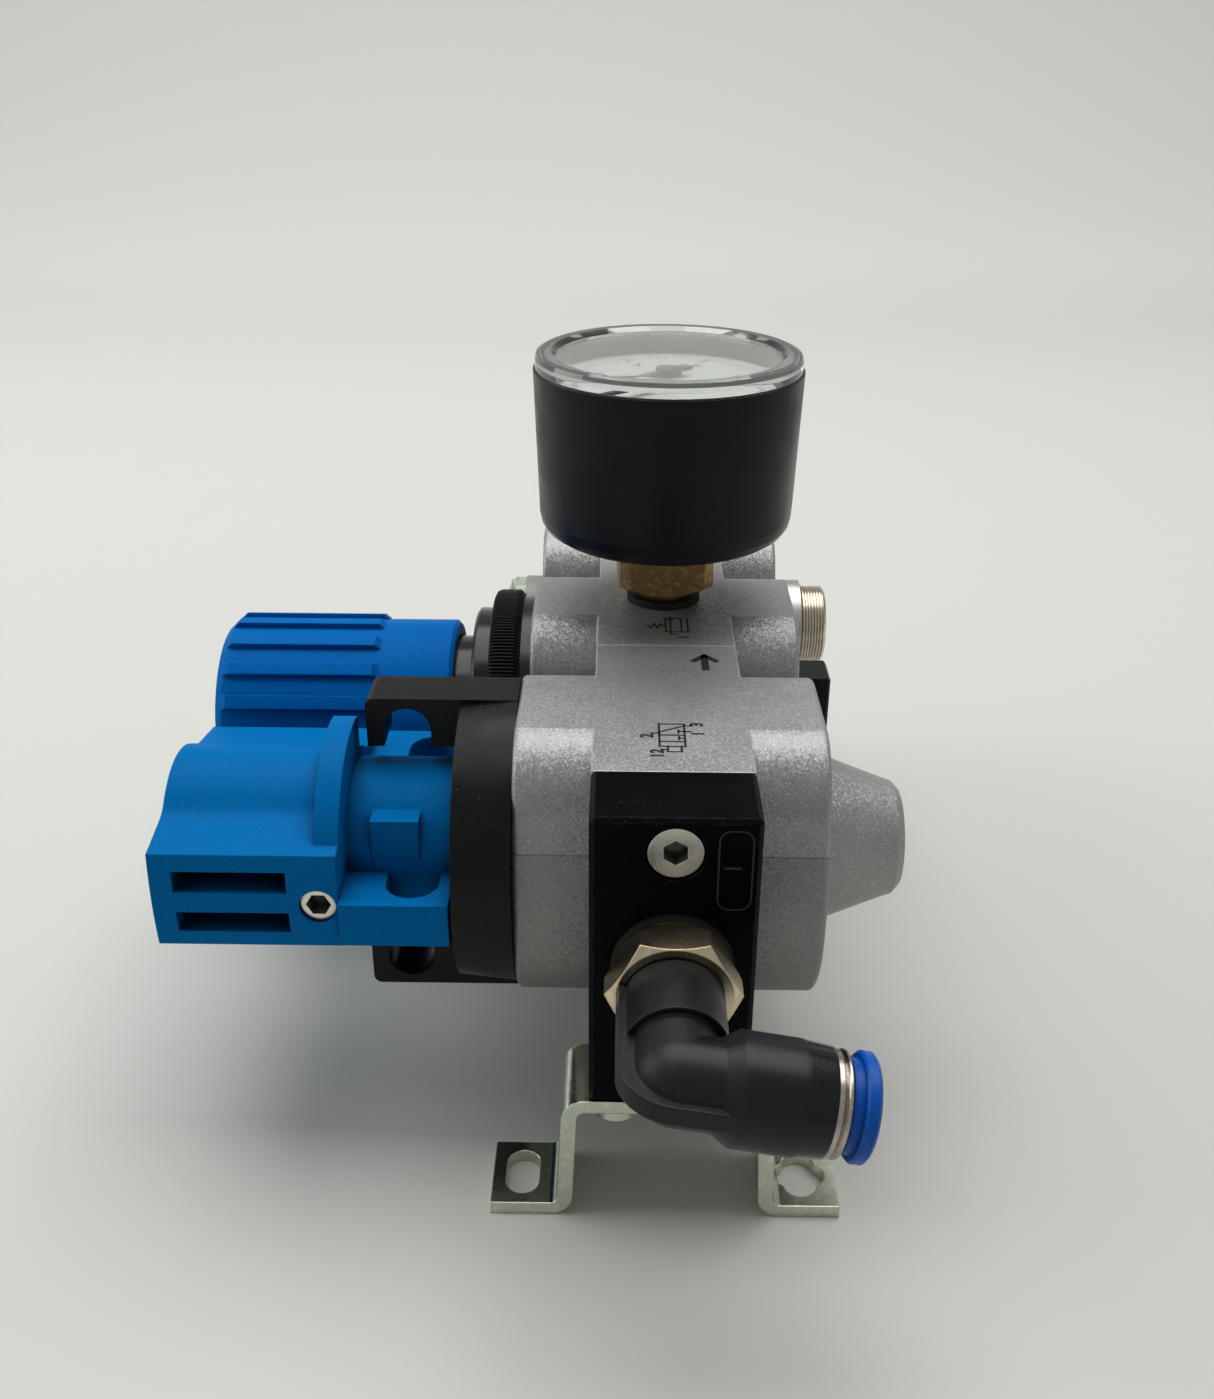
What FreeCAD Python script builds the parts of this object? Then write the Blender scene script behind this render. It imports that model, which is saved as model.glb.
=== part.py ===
"""Modular air service unit: on/off valve, pressure regulator and lubricator heads in one stack.

Frame: millimetres, +Z up, +Y along the stack from inlet to outlet, +X to the plug side.
The origin lies on the floor at the centre of the feet, under the axis of the regulator.
"""
import FreeCAD, Part
import math
import os

V = FreeCAD.Vector
os.makedirs("parts", exist_ok=True)

# ---- stack of modules ----
module_pitch = 40.0
axis_height = 43.1
body_half_height = 21.5
strip_half_width = 10.65
lobe_half_width = 21.4
lobe_flat_inset = 12.0
lobe_shoulder_inset = 3.6
lobe_shoulder_drop = 8.9
lobe_crease_inset = 0.8
lobe_crease_rise = 12.7
lobe_bow_inset = 0.3
lobe_bow_rise = 7.0
lobe_shoulder_bow = (1.6, 1.3)
lobe_base_bow = (1.3, 1.2)
lobe_edge_round = 0.8
passage_radius = 5.5
passage_depth = 5.5
tap_runout = 1.0
pocket_half_height = 3.5
pocket_lap = 2.0

# ---- clearances ----
running_fit = 0.05
free_gap = 0.3

# ---- end plates, brackets and screws ----
plate_thickness = 12.0
plate_half_width = 10.7
plate_overhang = 1.2
plate_chamfer = 0.6
port_radius = 6.6
port_depth = 10.0
screw_row_inset = 4.9
plate_screw_radius = 2.0
plate_screw_head_radius = 3.5
plate_screw_head_height = 4.0
plate_screw_grip = 8.0
plate_screw_sink = 0.3
plate_screw_socket_flats = 3.0
plate_screw_socket_depth = 2.2
stack_screw_radius = 1.5
stack_screw_x = 6.5
stack_screw_head_radius = 2.75
stack_screw_head_height = 3.0
stack_screw_grip = 8.0
seal_inner_radius = 6.6
seal_outer_radius = 8.0
seal_thickness = 1.0
sheet_thickness = 2.0
leg_half_width_low = 15.1
leg_half_width_high = 14.3
foot_half_width = 24.5
bend_radius = 1.2
foot_slot_x = 20.2
foot_slot_radius = 2.35
foot_slot_length = 8.2
cross_slot_length = 7.2
cross_slot_x = 19.4
bracket_screw_x = 7.0
bracket_screw_radius = 2.0
bracket_screw_length = 10.0
pan_head_radius = 3.3
pan_head_height = 2.4
pan_head_rim = 0.9
pan_head_crown = 1.5
pan_head_slot = 0.8
pan_head_slot_length = 4.0
pan_head_slot_depth = 1.2

# ---- on/off valve, lengths along X from the sides of the body ----
cone_base_radius = 12.5
cone_tip_radius = 8.9
cone_shoulder_reach = 9.7
cone_shoulder_round = 1.7
cone_face_reach = 12.4
cone_face_radius = 7.25
exhaust_radius = 4.28
exhaust_depth = 8.8
spring_bore_radius = 8.5
exhaust_land_end = 12.6
spool_radius = 6.95
spool_bore_radius = 7.0
spool_stroke = 3.5
spool_guide_end = -10.5
spool_supply_land = (-7.2, -3.6)
spool_exhaust_land = (9.3, 12.5)
spool_seal_width = 1.4
seal_groove_depth = 1.3
spool_tail = 3.0
spool_spring_radius = 5.6
spool_spring_wire = 1.0
gallery_radius = 10.0
gallery_near = 3.0
gallery_far = 9.0
spindle_bore_radius = 9.0
spindle_bore_depth = 4.4
spindle_groove_inset = 2.4
spool_waist_radius = 4.0
spool_socket_radius = 2.55
base_ring_width = 8.2
base_ring_root_inset = 0.1
base_ring_taper = 0.8
base_ring_trim = 18.4
base_ring_pocket_radius = 9.3
base_ring_web = 3.1
ear_reach = 13.6
ear_near = 0.4
ear_far = 8.0
ear_round = 1.2
ear_hole_offset = 7.8
ear_hole_radius = 3.4
ear_hole_edge = 1.5
drum_width = 15.5
drum_radius = 11.1
lever_width = 25.6
lever_half_length = 18.0
lever_hub_radius = 12.6
lever_tip_high = 7.7
lever_tip_low = 6.8
lever_wing_slope = 10.0
lever_valley_round = 5.0
lever_nose = 0.5
lever_flange_radius = 17.4
lever_flange_width = 3.4
lever_flange_overlap = 4.0
spigot_radius = 9.0
drive_shaft_radius = 4.0
drive_shaft_grip = 5.9
drive_pin_length = 7.5
ledge_reach = 19.6
ledge_start = 11.0
ledge_drop = 6.5
ledge_notch_offset = 6.0
ledge_notch_radius = 3.7
key_height = 8.1
key_span = (5.2, 12.0)
lever_slot_margins = (3.1, 3.6)
lever_slot_depth = 9.0
lever_slot_upper = (1.1, 4.3)
lever_slot_lower = (-5.3, -2.1)
set_screw_inset = 2.9
set_screw_drop = 1.0
set_screw_radius = 2.5
set_screw_flats = 3.0
set_screw_socket = 2.5

# ---- regulator, lengths along X from the sides of the body ----
counterbore_radius = 14.95
diaphragm_depth = 8.9
diaphragm_thickness = 1.5
bonnet_bore_radius = 11.0
partition_half = 2.0
seat_hole_radius = 4.5
inlet_chamber_radius = 13.0
pocket_reach = 9.0
sense_duct_radius = 1.3
bonnet_flange_radius = 20.0
bonnet_flange_thickness = 1.8
thread_sleeve_radius = 17.9
thread_sleeve_width = 8.0
bonnet_neck_radius = 13.0
bonnet_neck_width = 20.8
bonnet_wall = 4.0
nut_radius = 21.0
nut_width = 5.0
nut_chamfer = 0.9
nut_teeth = 90
nut_tooth_depth = 0.5
knob_gap = 3.2
knob_length = 38.6
knob_radius = 15.7
knob_rib_radius = 16.6
knob_skirt = 12.1
knob_rib_count = 18
knob_rib_width = 2.3
knob_edge_round = 1.2
knob_wall = 4.0
knob_boss_radius = 6.0
knob_boss_gap = 2.0
spindle_thread_radius = 4.0
spindle_thread_length = 19.0
spindle_collar_radius = 6.0
spindle_collar_width = 2.0
spindle_hex_flats = 6.0
spring_plate_gap = 8.0
spring_plate_thickness = 3.0
clamp_plate_radius = 9.5
clamp_plate_thickness = 3.0
clamp_washer_radius = 7.5
clamp_washer_thickness = 1.5
clamp_hub_radius = 2.5
poppet_radius = 6.5
poppet_thickness = 3.0
poppet_stem_radius = 1.6
poppet_guide_radius = 3.0
poppet_guide_length = 8.0
poppet_spring_radius = 5.5
poppet_spring_wire = 0.9
plug_depth = 11.4
plug_spring_depth = 6.0
plug_spring_room = (1.25, 3.75)
plug_floor = 2.0
plug_grip_reach = 7.0
plug_grip_half_width = 3.75
plug_grip_half_height = 8.5
plug_grip_chamfer = 0.4
main_spring_radius = 8.0
main_spring_wire = 1.8
spring_end_gap = 0.2

# ---- pressure gauge, heights above the top of the body ----
gauge_thread_radius = 4.85
gauge_thread_length = 6.5
gauge_neck_radius = 4.5
gauge_neck_height = 2.7
gauge_square_flats = 15.0
gauge_square_height = 9.3
gauge_square_turn = 3.0
gauge_square_chamfer = 1.6
gauge_seal_radius = 6.0
gauge_seal_height = 1.2
gauge_flow_radius = 1.2
gauge_case_radius = 21.0
gauge_case_taper = 0.8
gauge_case_height = 26.1
gauge_case_round = 3.5
gauge_case_wall = 2.0
gauge_rim_wall = 1.8
gauge_ledge_drop = 3.6
gauge_ledge_width = 1.7
gauge_dial_thickness = 0.6
gauge_dial_hole = 1.5
gauge_lens_inset = 0.3
gauge_lens_rise = 2.7
gauge_lens_rim = 3.2
gauge_lens_step = 0.7
gauge_lens_wall = 1.5
gauge_lens_round = 0.9
gauge_movement_height = 5.0
gauge_post_radius = 2.5
gauge_post_gap = 0.4
pointer_shaft_radius = 0.8
pointer_shaft_length = 5.5
pointer_inset = 3.5
pointer_tail = 4.5
pointer_hub_radius = 2.0
pointer_thickness = 0.5
pointer_height = 1.0
pointer_root_width = 2.0
pointer_tip_width = 0.7
pointer_zero = 225.0
bourdon_inset = 4.5
bourdon_turn = 260.0
bourdon_width = 1.6
bourdon_height = 4.0
bourdon_foot_width = 3.0

# ---- lubricator head, lengths along X from the sides of the body ----
drip_bore_radius = 7.45
drip_chamber_depth = 2.0
oil_bore_radius = 9.0
oil_bore_end = 7.0
oil_duct_radius = 0.8
dome_seat_radius = 9.0
dome_seat_width = 4.0
dome_radius = 8.7
dome_height = 3.4
dome_wall = 1.4
dome_round = 1.5
drip_insert_depth = 9.4
drip_insert_thickness = 3.0
nozzle_radius = 1.6
nozzle_length = 6.5
nozzle_bore_radius = 0.7
nozzle_height = -2.8
metering_screw_radius = 1.5
metering_screw_height = 2.8
metering_boss_length = 4.0
metering_boss_wall = 0.9
metering_head_radius = 2.3
metering_head_height = 1.5
metering_slot_width = 0.6
metering_slot_depth = 0.7
venturi_throat_radius = 3.0
venturi_throat_half = 3.0
venturi_mouth_radius = 4.6
venturi_end_gap = 0.5
fill_neck_radius = 8.6
fill_neck_reach = 6.4
fill_neck_depth = 9.0
fill_plug_radius = 7.5
fill_plug_width = 4.9
fill_plug_dish = 0.8
fill_plug_rim = 1.6
fill_spigot_radius = 5.5
fill_spigot_length = 11.0

# ---- swivel push-in fitting on the inlet plate ----
hex_flats = 15.0
hex_width = 6.0
hex_chamfer = 0.9
fitting_seal_width = 1.0
fitting_seal_radius = 7.9
swivel_radius = 5.0
swivel_depth = 12.0
swivel_end_gap = 0.3
stem_radius = 6.3
stem_end = 5.0
bend_body_radius = 5.4
elbow_reach = 21.4
outlet_droop = 10.0
outlet_cone_start = 4.4
outlet_cone_end = 6.6
outlet_radius = 6.7
outlet_taper_start = 13.4
outlet_tip_radius = 6.4
outlet_body_end = 17.2
web_side = 7.1
web_front = 6.2
web_round = 6.0
web_half_thickness = 1.2
tube_radius = 4.1
tube_stop = 7.0
grip_bore_radius = 5.5
grip_bore_start = 10.5
bore_of_flow = 3.0
tube_seal_width = 2.0
tube_seal_clearance = 0.05
collet_width = 1.0
collet_wall = 0.6
collet_lip = 0.4
trim_ring_width = 1.9
trim_ring_radius = 6.25
trim_groove_depth = 0.35
release_radius = 6.4
release_width = 1.8
release_gap = 1.3
release_nose = 2.2

# ---- places worked out from the above ----
half_pitch = module_pitch / 2
valve_y = -module_pitch
regulator_y = 0.0
lubricator_y = module_pitch
stack_half = 1.5 * module_pitch
plate_face = stack_half + plate_thickness
body_top = axis_height + body_half_height
plate_bottom = axis_height - body_half_height - plate_overhang
plate_middle = -stack_half - plate_thickness / 2
screw_row = body_half_height - screw_row_inset

# ---- places along X of the valve ----
base_ring_x = -lobe_half_width - base_ring_width
base_ring_root_radius = body_half_height - base_ring_root_inset
base_ring_radius = base_ring_root_radius - base_ring_taper
drum_root_x = base_ring_x - drum_width
lever_flange_x = drum_root_x - lever_flange_width
lever_end_x = drum_root_x - lever_width
ear_end_x = base_ring_x - ear_reach
ear_bottom = math.hypot(ledge_start, key_height) + free_gap
spindle_bore_end = -lobe_half_width + spindle_bore_depth
spool_lands = ((spindle_bore_end + free_gap, spool_guide_end), spool_supply_land, spool_exhaust_land)
spring_bore_end = lobe_half_width + cone_face_reach - exhaust_depth
base_ring_web_x = -lobe_half_width - base_ring_web

# ---- places along X of the regulator and the lubricator ----
diaphragm_seat_x = -lobe_half_width + diaphragm_depth
bonnet_flange_x = -lobe_half_width - bonnet_flange_thickness
thread_sleeve_x = bonnet_flange_x - thread_sleeve_width
bonnet_end_x = thread_sleeve_x - bonnet_neck_width
knob_rim_x = thread_sleeve_x - knob_gap
knob_end_x = knob_rim_x - knob_length
knob_rib_end_x = knob_rim_x - knob_skirt
spring_plate_x = bonnet_end_x + spring_plate_gap
plug_inner_x = lobe_half_width - plug_depth
drip_insert_x = -lobe_half_width + drip_insert_depth
drip_bore_end = drip_insert_x + drip_insert_thickness + drip_chamber_depth


# ---- plain shapes ----
def box(x0, x1, y0, y1, z0, z1):
    return Part.makeBox(x1 - x0, y1 - y0, z1 - z0, V(x0, y0, z0))


def rod_x(radius, x0, x1, y=0.0, z=0.0):
    return Part.makeCylinder(radius, x1 - x0, V(x0, y, z), V(1, 0, 0))


def rod_y(radius, y0, y1, x=0.0, z=0.0):
    return Part.makeCylinder(radius, y1 - y0, V(x, y0, z), V(0, 1, 0))


def rod_z(radius, z0, z1, x=0.0, y=0.0):
    return Part.makeCylinder(radius, z1 - z0, V(x, y, z0), V(0, 0, 1))


def turned_x(points):
    """Revolve a closed outline of (x, radius) points about the X axis."""
    corners = [V(x, 0, r) for x, r in points]
    face = Part.Face(Part.makePolygon(corners + corners[:1]))
    return face.revolve(V(0, 0, 0), V(1, 0, 0), 360)


def turned_y(points):
    """Revolve a closed outline of (y, radius) points about the Y axis."""
    corners = [V(r, y, 0) for y, r in points]
    face = Part.Face(Part.makePolygon(corners + corners[:1]))
    return face.revolve(V(0, 0, 0), V(0, 1, 0), 360)


def turned_z(points):
    """Revolve a closed outline of (radius, z) points about the Z axis."""
    corners = [V(r, 0, z) for r, z in points]
    face = Part.Face(Part.makePolygon(corners + corners[:1]))
    return face.revolve(V(0, 0, 0), V(0, 0, 1), 360)


def ring_x(outer, inner, x0, x1):
    return turned_x([(x0, inner), (x0, outer), (x1, outer), (x1, inner)])


def ring_y(outer, inner, y0, y1):
    return turned_y([(y0, inner), (y0, outer), (y1, outer), (y1, inner)])


def hexagon_y(flats, y0, y1, turn=0.0):
    """A hexagonal bar along Y with its corners at the turn angle from X."""
    corner = flats / math.sqrt(3)
    angles = [math.radians(60 * k + turn) for k in range(7)]
    outline = [V(corner * math.cos(a), y0, corner * math.sin(a)) for a in angles]
    return Part.Face(Part.makePolygon(outline)).extrude(V(0, y1 - y0, 0))


def hexagon_x(flats, x0, x1):
    corner = flats / math.sqrt(3)
    angles = [math.radians(60 * k) for k in range(7)]
    outline = [V(x0, corner * math.cos(a), corner * math.sin(a)) for a in angles]
    return Part.Face(Part.makePolygon(outline)).extrude(V(x1 - x0, 0, 0))


def half_turn_x(shape):
    """A copy turned half a turn about the X axis."""
    copy = shape.copy()
    copy.rotate(V(0, 0, 0), V(1, 0, 0), 180)
    return copy


def flip_y(shape):
    """A copy turned half a turn about the Z axis, so that front becomes rear."""
    copy = shape.copy()
    copy.rotate(V(0, 0, 0), V(0, 0, 1), 180)
    return copy


def quarter_turn_z(shape):
    """A copy turned a quarter turn about the Z axis, which makes a cross of a slot."""
    copy = shape.copy()
    copy.rotate(V(0, 0, 0), V(0, 0, 1), 90)
    return copy


def moved(shape, x=0.0, y=0.0, z=0.0):
    copy = shape.copy()
    copy.translate(V(x, y, z))
    return copy


def on_axis(shape, y):
    """Move a shape made about the origin to the cross axis of the module at y."""
    return moved(shape, 0, y, axis_height)


def coil_x(mean_radius, wire, x0, x1, turns):
    """A compression spring of square wire along X, with its ends cut square."""
    rise = x1 - x0 - wire
    helix = Part.makeHelix(rise / turns, rise, mean_radius)
    half = wire / 2
    corners = [V(mean_radius + a, 0, b) for a, b in
               ((-half, -half), (half, -half), (half, half), (-half, half), (-half, -half))]
    coil = Part.Wire(helix).makePipeShell([Part.makePolygon(corners)], True, True)
    coil.rotate(V(0, 0, 0), V(0, 1, 0), 90)
    return moved(Part.Solid(coil), x0 + half)


def save(node, shape):
    if len(shape.Solids) == 1:
        shape = shape.Solids[0]
    shape.exportStep("parts/" + node + ".step")


# ---- module casting ----
def lobe_profile():
    """Side outline of a casting: flat top, rounded sides with a crease low down, flat base."""
    top = body_half_height
    flat = half_pitch - lobe_flat_inset
    shoulder_y = half_pitch - lobe_shoulder_inset
    shoulder_z = top - lobe_shoulder_drop
    crease_y = half_pitch - lobe_crease_inset
    crease_z = lobe_crease_rise - top
    upper_bow = V(0, (flat + shoulder_y) / 2 + lobe_shoulder_bow[0],
                  (top + shoulder_z) / 2 + lobe_shoulder_bow[1])
    side_bow = V(0, half_pitch - lobe_bow_inset, crease_z + lobe_bow_rise)
    lower_bow = V(0, (flat + crease_y) / 2 + lobe_base_bow[0],
                  (crease_z - top) / 2 - lobe_base_bow[1])

    def mirrored(point):
        return V(0, -point.y, point.z)

    right = [V(0, flat, top), upper_bow, V(0, shoulder_y, shoulder_z), side_bow,
             V(0, crease_y, crease_z), lower_bow, V(0, flat, -top)]
    left = [mirrored(point) for point in reversed(right)]
    edges = []
    for side in (right, left):
        for k in (0, 2, 4):
            edges.append(Part.Arc(side[k], side[k + 1], side[k + 2]).toShape())
    edges.append(Part.LineSegment(left[-1], right[0]).toShape())
    edges.append(Part.LineSegment(right[-1], left[0]).toShape())
    return Part.Wire(Part.__sortEdges__(edges))


def casting():
    """The common housing: two rounded lobes joined by the narrower strip of the stack."""
    lobes = Part.Face(lobe_profile()).extrude(V(2 * lobe_half_width, 0, 0))
    lobes = moved(lobes, -lobe_half_width)
    rims = []
    for edge in lobes.Edges:
        if all(abs(abs(v.X) - lobe_half_width) < 1e-6 for v in edge.Vertexes):
            rims.append(edge)
    lobes = lobes.makeFillet(lobe_edge_round, rims)
    strip = box(-strip_half_width, strip_half_width, -half_pitch, half_pitch,
                -body_half_height, body_half_height)
    return lobes.fuse(strip)


def passages():
    """Blind inlet and outlet passages in the two flanks."""
    depth = passage_depth
    inlet = rod_y(passage_radius, -half_pitch, -half_pitch + depth)
    outlet = rod_y(passage_radius, half_pitch - depth, half_pitch)
    return inlet.fuse(outlet)


def pocket(x0, x1, reach):
    """A cast pocket that leads from a passage into a chamber of the given radius."""
    return box(x0, x1, reach, half_pitch - passage_depth + 1.0, -pocket_half_height, pocket_half_height)


def screw_holes(radius, x, y0, y1):
    """Two holes along Y, one above and one below the axis."""
    upper = rod_y(radius, y0, y1, x, screw_row)
    lower = rod_y(radius, y0, y1, x, -screw_row)
    return upper.fuse(lower)


def outer_module_holes():
    """Plate screw and stack screw holes of a module whose free flank is at -Y."""
    tapped = screw_holes(plate_screw_radius + running_fit, 0, -half_pitch,
                         -half_pitch + plate_screw_grip + tap_runout)
    cuts = [tapped]
    for x in (-stack_screw_x, stack_screw_x):
        cuts.append(screw_holes(stack_screw_radius + 0.1, x, -half_pitch, half_pitch))
        cuts.append(screw_holes(stack_screw_head_radius + 0.15, x, -half_pitch,
                                -half_pitch + stack_screw_head_height + 0.2))
    return cuts


def flank_groove(sign):
    """Groove for a face seal in the flank on the side of the sign."""
    groove = ring_y(seal_outer_radius + running_fit, seal_inner_radius - running_fit,
                    half_pitch - seal_thickness, half_pitch)
    return groove if sign > 0 else flip_y(groove)


# ---- on/off valve ----
def valve_body():
    shoulder = lobe_half_width + cone_shoulder_reach
    face = lobe_half_width + cone_face_reach
    cone = turned_x([(lobe_half_width - 1.0, 0), (lobe_half_width - 1.0, cone_base_radius),
                     (lobe_half_width, cone_base_radius), (shoulder, cone_tip_radius),
                     (shoulder + cone_shoulder_round, cone_tip_radius - cone_shoulder_round / 3),
                     (face, cone_face_radius), (face, 0)])
    body = casting().fuse(cone)
    cuts = [rod_x(spindle_bore_radius, -lobe_half_width, spindle_bore_end),
            rod_x(spool_bore_radius, -lobe_half_width, exhaust_land_end),
            rod_x(spring_bore_radius, exhaust_land_end, spring_bore_end),
            rod_x(exhaust_radius, exhaust_land_end, face),
            rod_x(gallery_radius, -gallery_far, -gallery_near),
            rod_x(gallery_radius, gallery_near, gallery_far),
            passages()]
    outlet_pocket = pocket(gallery_near - pocket_lap, gallery_far, gallery_radius - pocket_lap)
    cuts.append(outlet_pocket)
    cuts.append(flip_y(outlet_pocket))
    cuts.extend(outer_module_holes())
    return on_axis(body.cut(cuts), valve_y)


def padlock_ear():
    """Flat ear along the top of the base ring, with an arch for a padlock shackle."""
    top = body_half_height
    plate = box(ear_end_x, -lobe_half_width, ear_near, ear_far, ear_bottom, top)
    corner = []
    for edge in plate.Edges:
        if all(abs(v.X - ear_end_x) < 1e-6 and abs(v.Z - top) < 1e-6 for v in edge.Vertexes):
            corner.append(edge)
    plate = plate.makeFillet(ear_round, corner)
    middle = base_ring_x - ear_hole_offset
    spring_line = top - ear_hole_edge - ear_hole_radius
    arch = rod_y(ear_hole_radius, ear_near, ear_far, middle, spring_line)
    mouth = box(middle - ear_hole_radius, middle + ear_hole_radius, ear_near, ear_far,
                ear_bottom, spring_line)
    return plate.cut([arch, mouth])


def lever_base_ring():
    """Black ring that carries the lever, with two padlock ears half a turn apart."""
    bearing = drive_shaft_radius + running_fit
    ring = turned_x([(base_ring_x, base_ring_pocket_radius), (base_ring_x, base_ring_radius),
                     (-lobe_half_width, base_ring_root_radius), (-lobe_half_width, bearing),
                     (base_ring_web_x, bearing), (base_ring_web_x, base_ring_pocket_radius)])
    trim = box(base_ring_x - 1, -lobe_half_width + 1, base_ring_trim, base_ring_root_radius + 1,
               -body_half_height, body_half_height)
    ear = padlock_ear()
    ring = ring.cut(trim).fuse([ear, half_turn_x(ear)])
    mouth = rod_x(base_ring_pocket_radius, base_ring_x, base_ring_web_x)
    return on_axis(ring.cut(mouth).removeSplitter(), valve_y)


def wing_line(tip_height):
    """Front half of the upper lever outline: flat wing, round valley, then the hub.

    Gives the tip, the two ends and the middle of the valley arc, and the crown of the hub.
    """
    slope = math.radians(lever_wing_slope)
    along = V(0, math.cos(slope), math.sin(slope))
    across = V(0, -math.sin(slope), math.cos(slope))
    tip = V(0, -lever_half_length, tip_height)
    offset = tip + across * lever_valley_round
    reach = lever_hub_radius + lever_valley_round
    half_b = offset.dot(along)
    run = -half_b - math.sqrt(half_b ** 2 - offset.dot(offset) + reach ** 2)
    centre = offset + along * run
    wing_end = centre - across * lever_valley_round
    hub_end = centre * (lever_hub_radius / reach)
    towards = (wing_end + hub_end) / 2 - centre
    valley = centre + towards.normalize() * lever_valley_round
    return tip, wing_end, valley, hub_end, V(0, 0, lever_hub_radius)


def lever_section():
    """End outline of the lever handle, the same after half a turn: round hub, swept wings."""
    edges = []
    corners = []
    for turn in (1, -1):
        front = [point * turn for point in wing_line(lever_tip_low)]
        rear = [V(0, -point.y, point.z) * turn for point in wing_line(lever_tip_high)]
        for tip, wing_end, valley, hub_end, crown in (front, rear):
            edges.append(Part.LineSegment(tip, wing_end).toShape())
            edges.append(Part.Arc(wing_end, valley, hub_end).toShape())
        edges.append(Part.Arc(front[3], front[4], rear[3]).toShape())
        corners.append((front[0], rear[0]))
    for k in (0, 1):
        start = corners[k][1]
        end = corners[1 - k][0]
        side = 1 if start.y > 0 else -1
        nose = V(0, side * (lever_half_length + lever_nose), (start.z + end.z) / 2)
        edges.append(Part.Arc(start, nose, end).toShape())
    return Part.Wire(Part.__sortEdges__(edges))


def padlock_ledge():
    """Ledge beside the drum with a notch that meets the ear when the lever is locked off."""
    ledge = box(drum_root_x, base_ring_x - 0.5, -ledge_reach, 0, -ledge_drop, 0)
    notch_x = base_ring_x - ledge_notch_offset
    notch_y = -ledge_start - (ledge_reach - ledge_start) / 3
    notch = rod_z(ledge_notch_radius, -ledge_drop, 0, notch_x, notch_y)
    mouth = box(notch_x - ledge_notch_radius, notch_x + ledge_notch_radius, notch_y,
                -ledge_start + 0.2, -ledge_drop, 0)
    return ledge.cut([notch, mouth])


def lever_flange():
    """Quarter disc that stands up between the bar and the drum, from its crown to the front wing."""
    disc = rod_x(lever_flange_radius, lever_flange_x, drum_root_x)
    quarter = box(lever_flange_x, drum_root_x, -lever_flange_radius, lever_flange_overlap,
                  0, lever_flange_radius)
    return disc.common(quarter)


def on_off_lever():
    """Blue quarter-turn handle in one moulding: bar, flanges, drum, key blocks, ledges, spigot."""
    bar = moved(Part.Face(lever_section()).extrude(V(lever_width, 0, 0)), lever_end_x)
    drum = rod_x(drum_radius, drum_root_x, base_ring_x - free_gap)
    spigot = rod_x(spigot_radius, base_ring_x - free_gap, base_ring_web_x - free_gap)
    key = box(base_ring_x - key_span[1], base_ring_x - key_span[0], -ledge_start, -drum_radius / 2,
              0, key_height)
    pieces = [drum, spigot]
    for piece in (lever_flange(), padlock_ledge(), key):
        pieces += [piece, half_turn_x(piece)]
    lever = bar.fuse(pieces)
    screw_x = drum_root_x - set_screw_inset
    cuts = [rod_x(drive_shaft_radius + running_fit, drum_root_x - drive_shaft_grip, base_ring_web_x),
            rod_y(set_screw_radius + running_fit, -lever_half_length - 1, 0, screw_x, -set_screw_drop)]
    slot_start = lever_end_x + lever_slot_margins[0]
    slot_end = lever_flange_x - lever_slot_margins[1]
    mouth_y = -lever_half_length - lever_nose - 1.0
    for low, high in (lever_slot_upper, lever_slot_lower):
        slot = box(slot_start, slot_end, mouth_y, -lever_half_length + lever_slot_depth, low, high)
        cuts.append(slot)
        cuts.append(half_turn_x(slot))
    return on_axis(lever.cut(cuts).removeSplitter(), valve_y)


def lever_set_screw():
    tip = -drive_shaft_radius
    head = -lever_half_length + 0.1
    screw_x = drum_root_x - set_screw_inset
    screw = rod_y(set_screw_radius, head, tip, screw_x, -set_screw_drop)
    socket = moved(hexagon_y(set_screw_flats, head, head + set_screw_socket), screw_x, 0, -set_screw_drop)
    return on_axis(screw.cut(socket), valve_y)


def drive_spindle():
    """Turns with the lever; its steep thread drives the spool along the axis."""
    tail_x = drum_root_x - drive_shaft_grip
    flange_x = spindle_bore_end - free_gap
    radius = spindle_bore_radius - running_fit
    pin = spool_socket_radius - running_fit
    root = radius - seal_groove_depth
    groove_x = flange_x - spindle_groove_inset
    spindle = turned_x([(tail_x, 0), (tail_x, drive_shaft_radius),
                        (-lobe_half_width + free_gap, drive_shaft_radius),
                        (-lobe_half_width + free_gap, radius), (groove_x, radius),
                        (groove_x, root), (groove_x + seal_groove_depth, root),
                        (groove_x + seal_groove_depth, radius), (flange_x, radius), (flange_x, pin),
                        (flange_x + drive_pin_length, pin), (flange_x + drive_pin_length, 0)])
    return on_axis(spindle, valve_y)


def spindle_seal():
    radius = spindle_bore_radius - running_fit
    groove_x = spindle_bore_end - free_gap - spindle_groove_inset
    return on_axis(ring_x(radius, radius - seal_groove_depth, groove_x, groove_x + seal_groove_depth),
                   valve_y)


def land_grooves():
    """Start of the seal groove in the middle of each land of the spool."""
    return [(start + end - spool_seal_width) / 2 for start, end in spool_lands]


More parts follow.
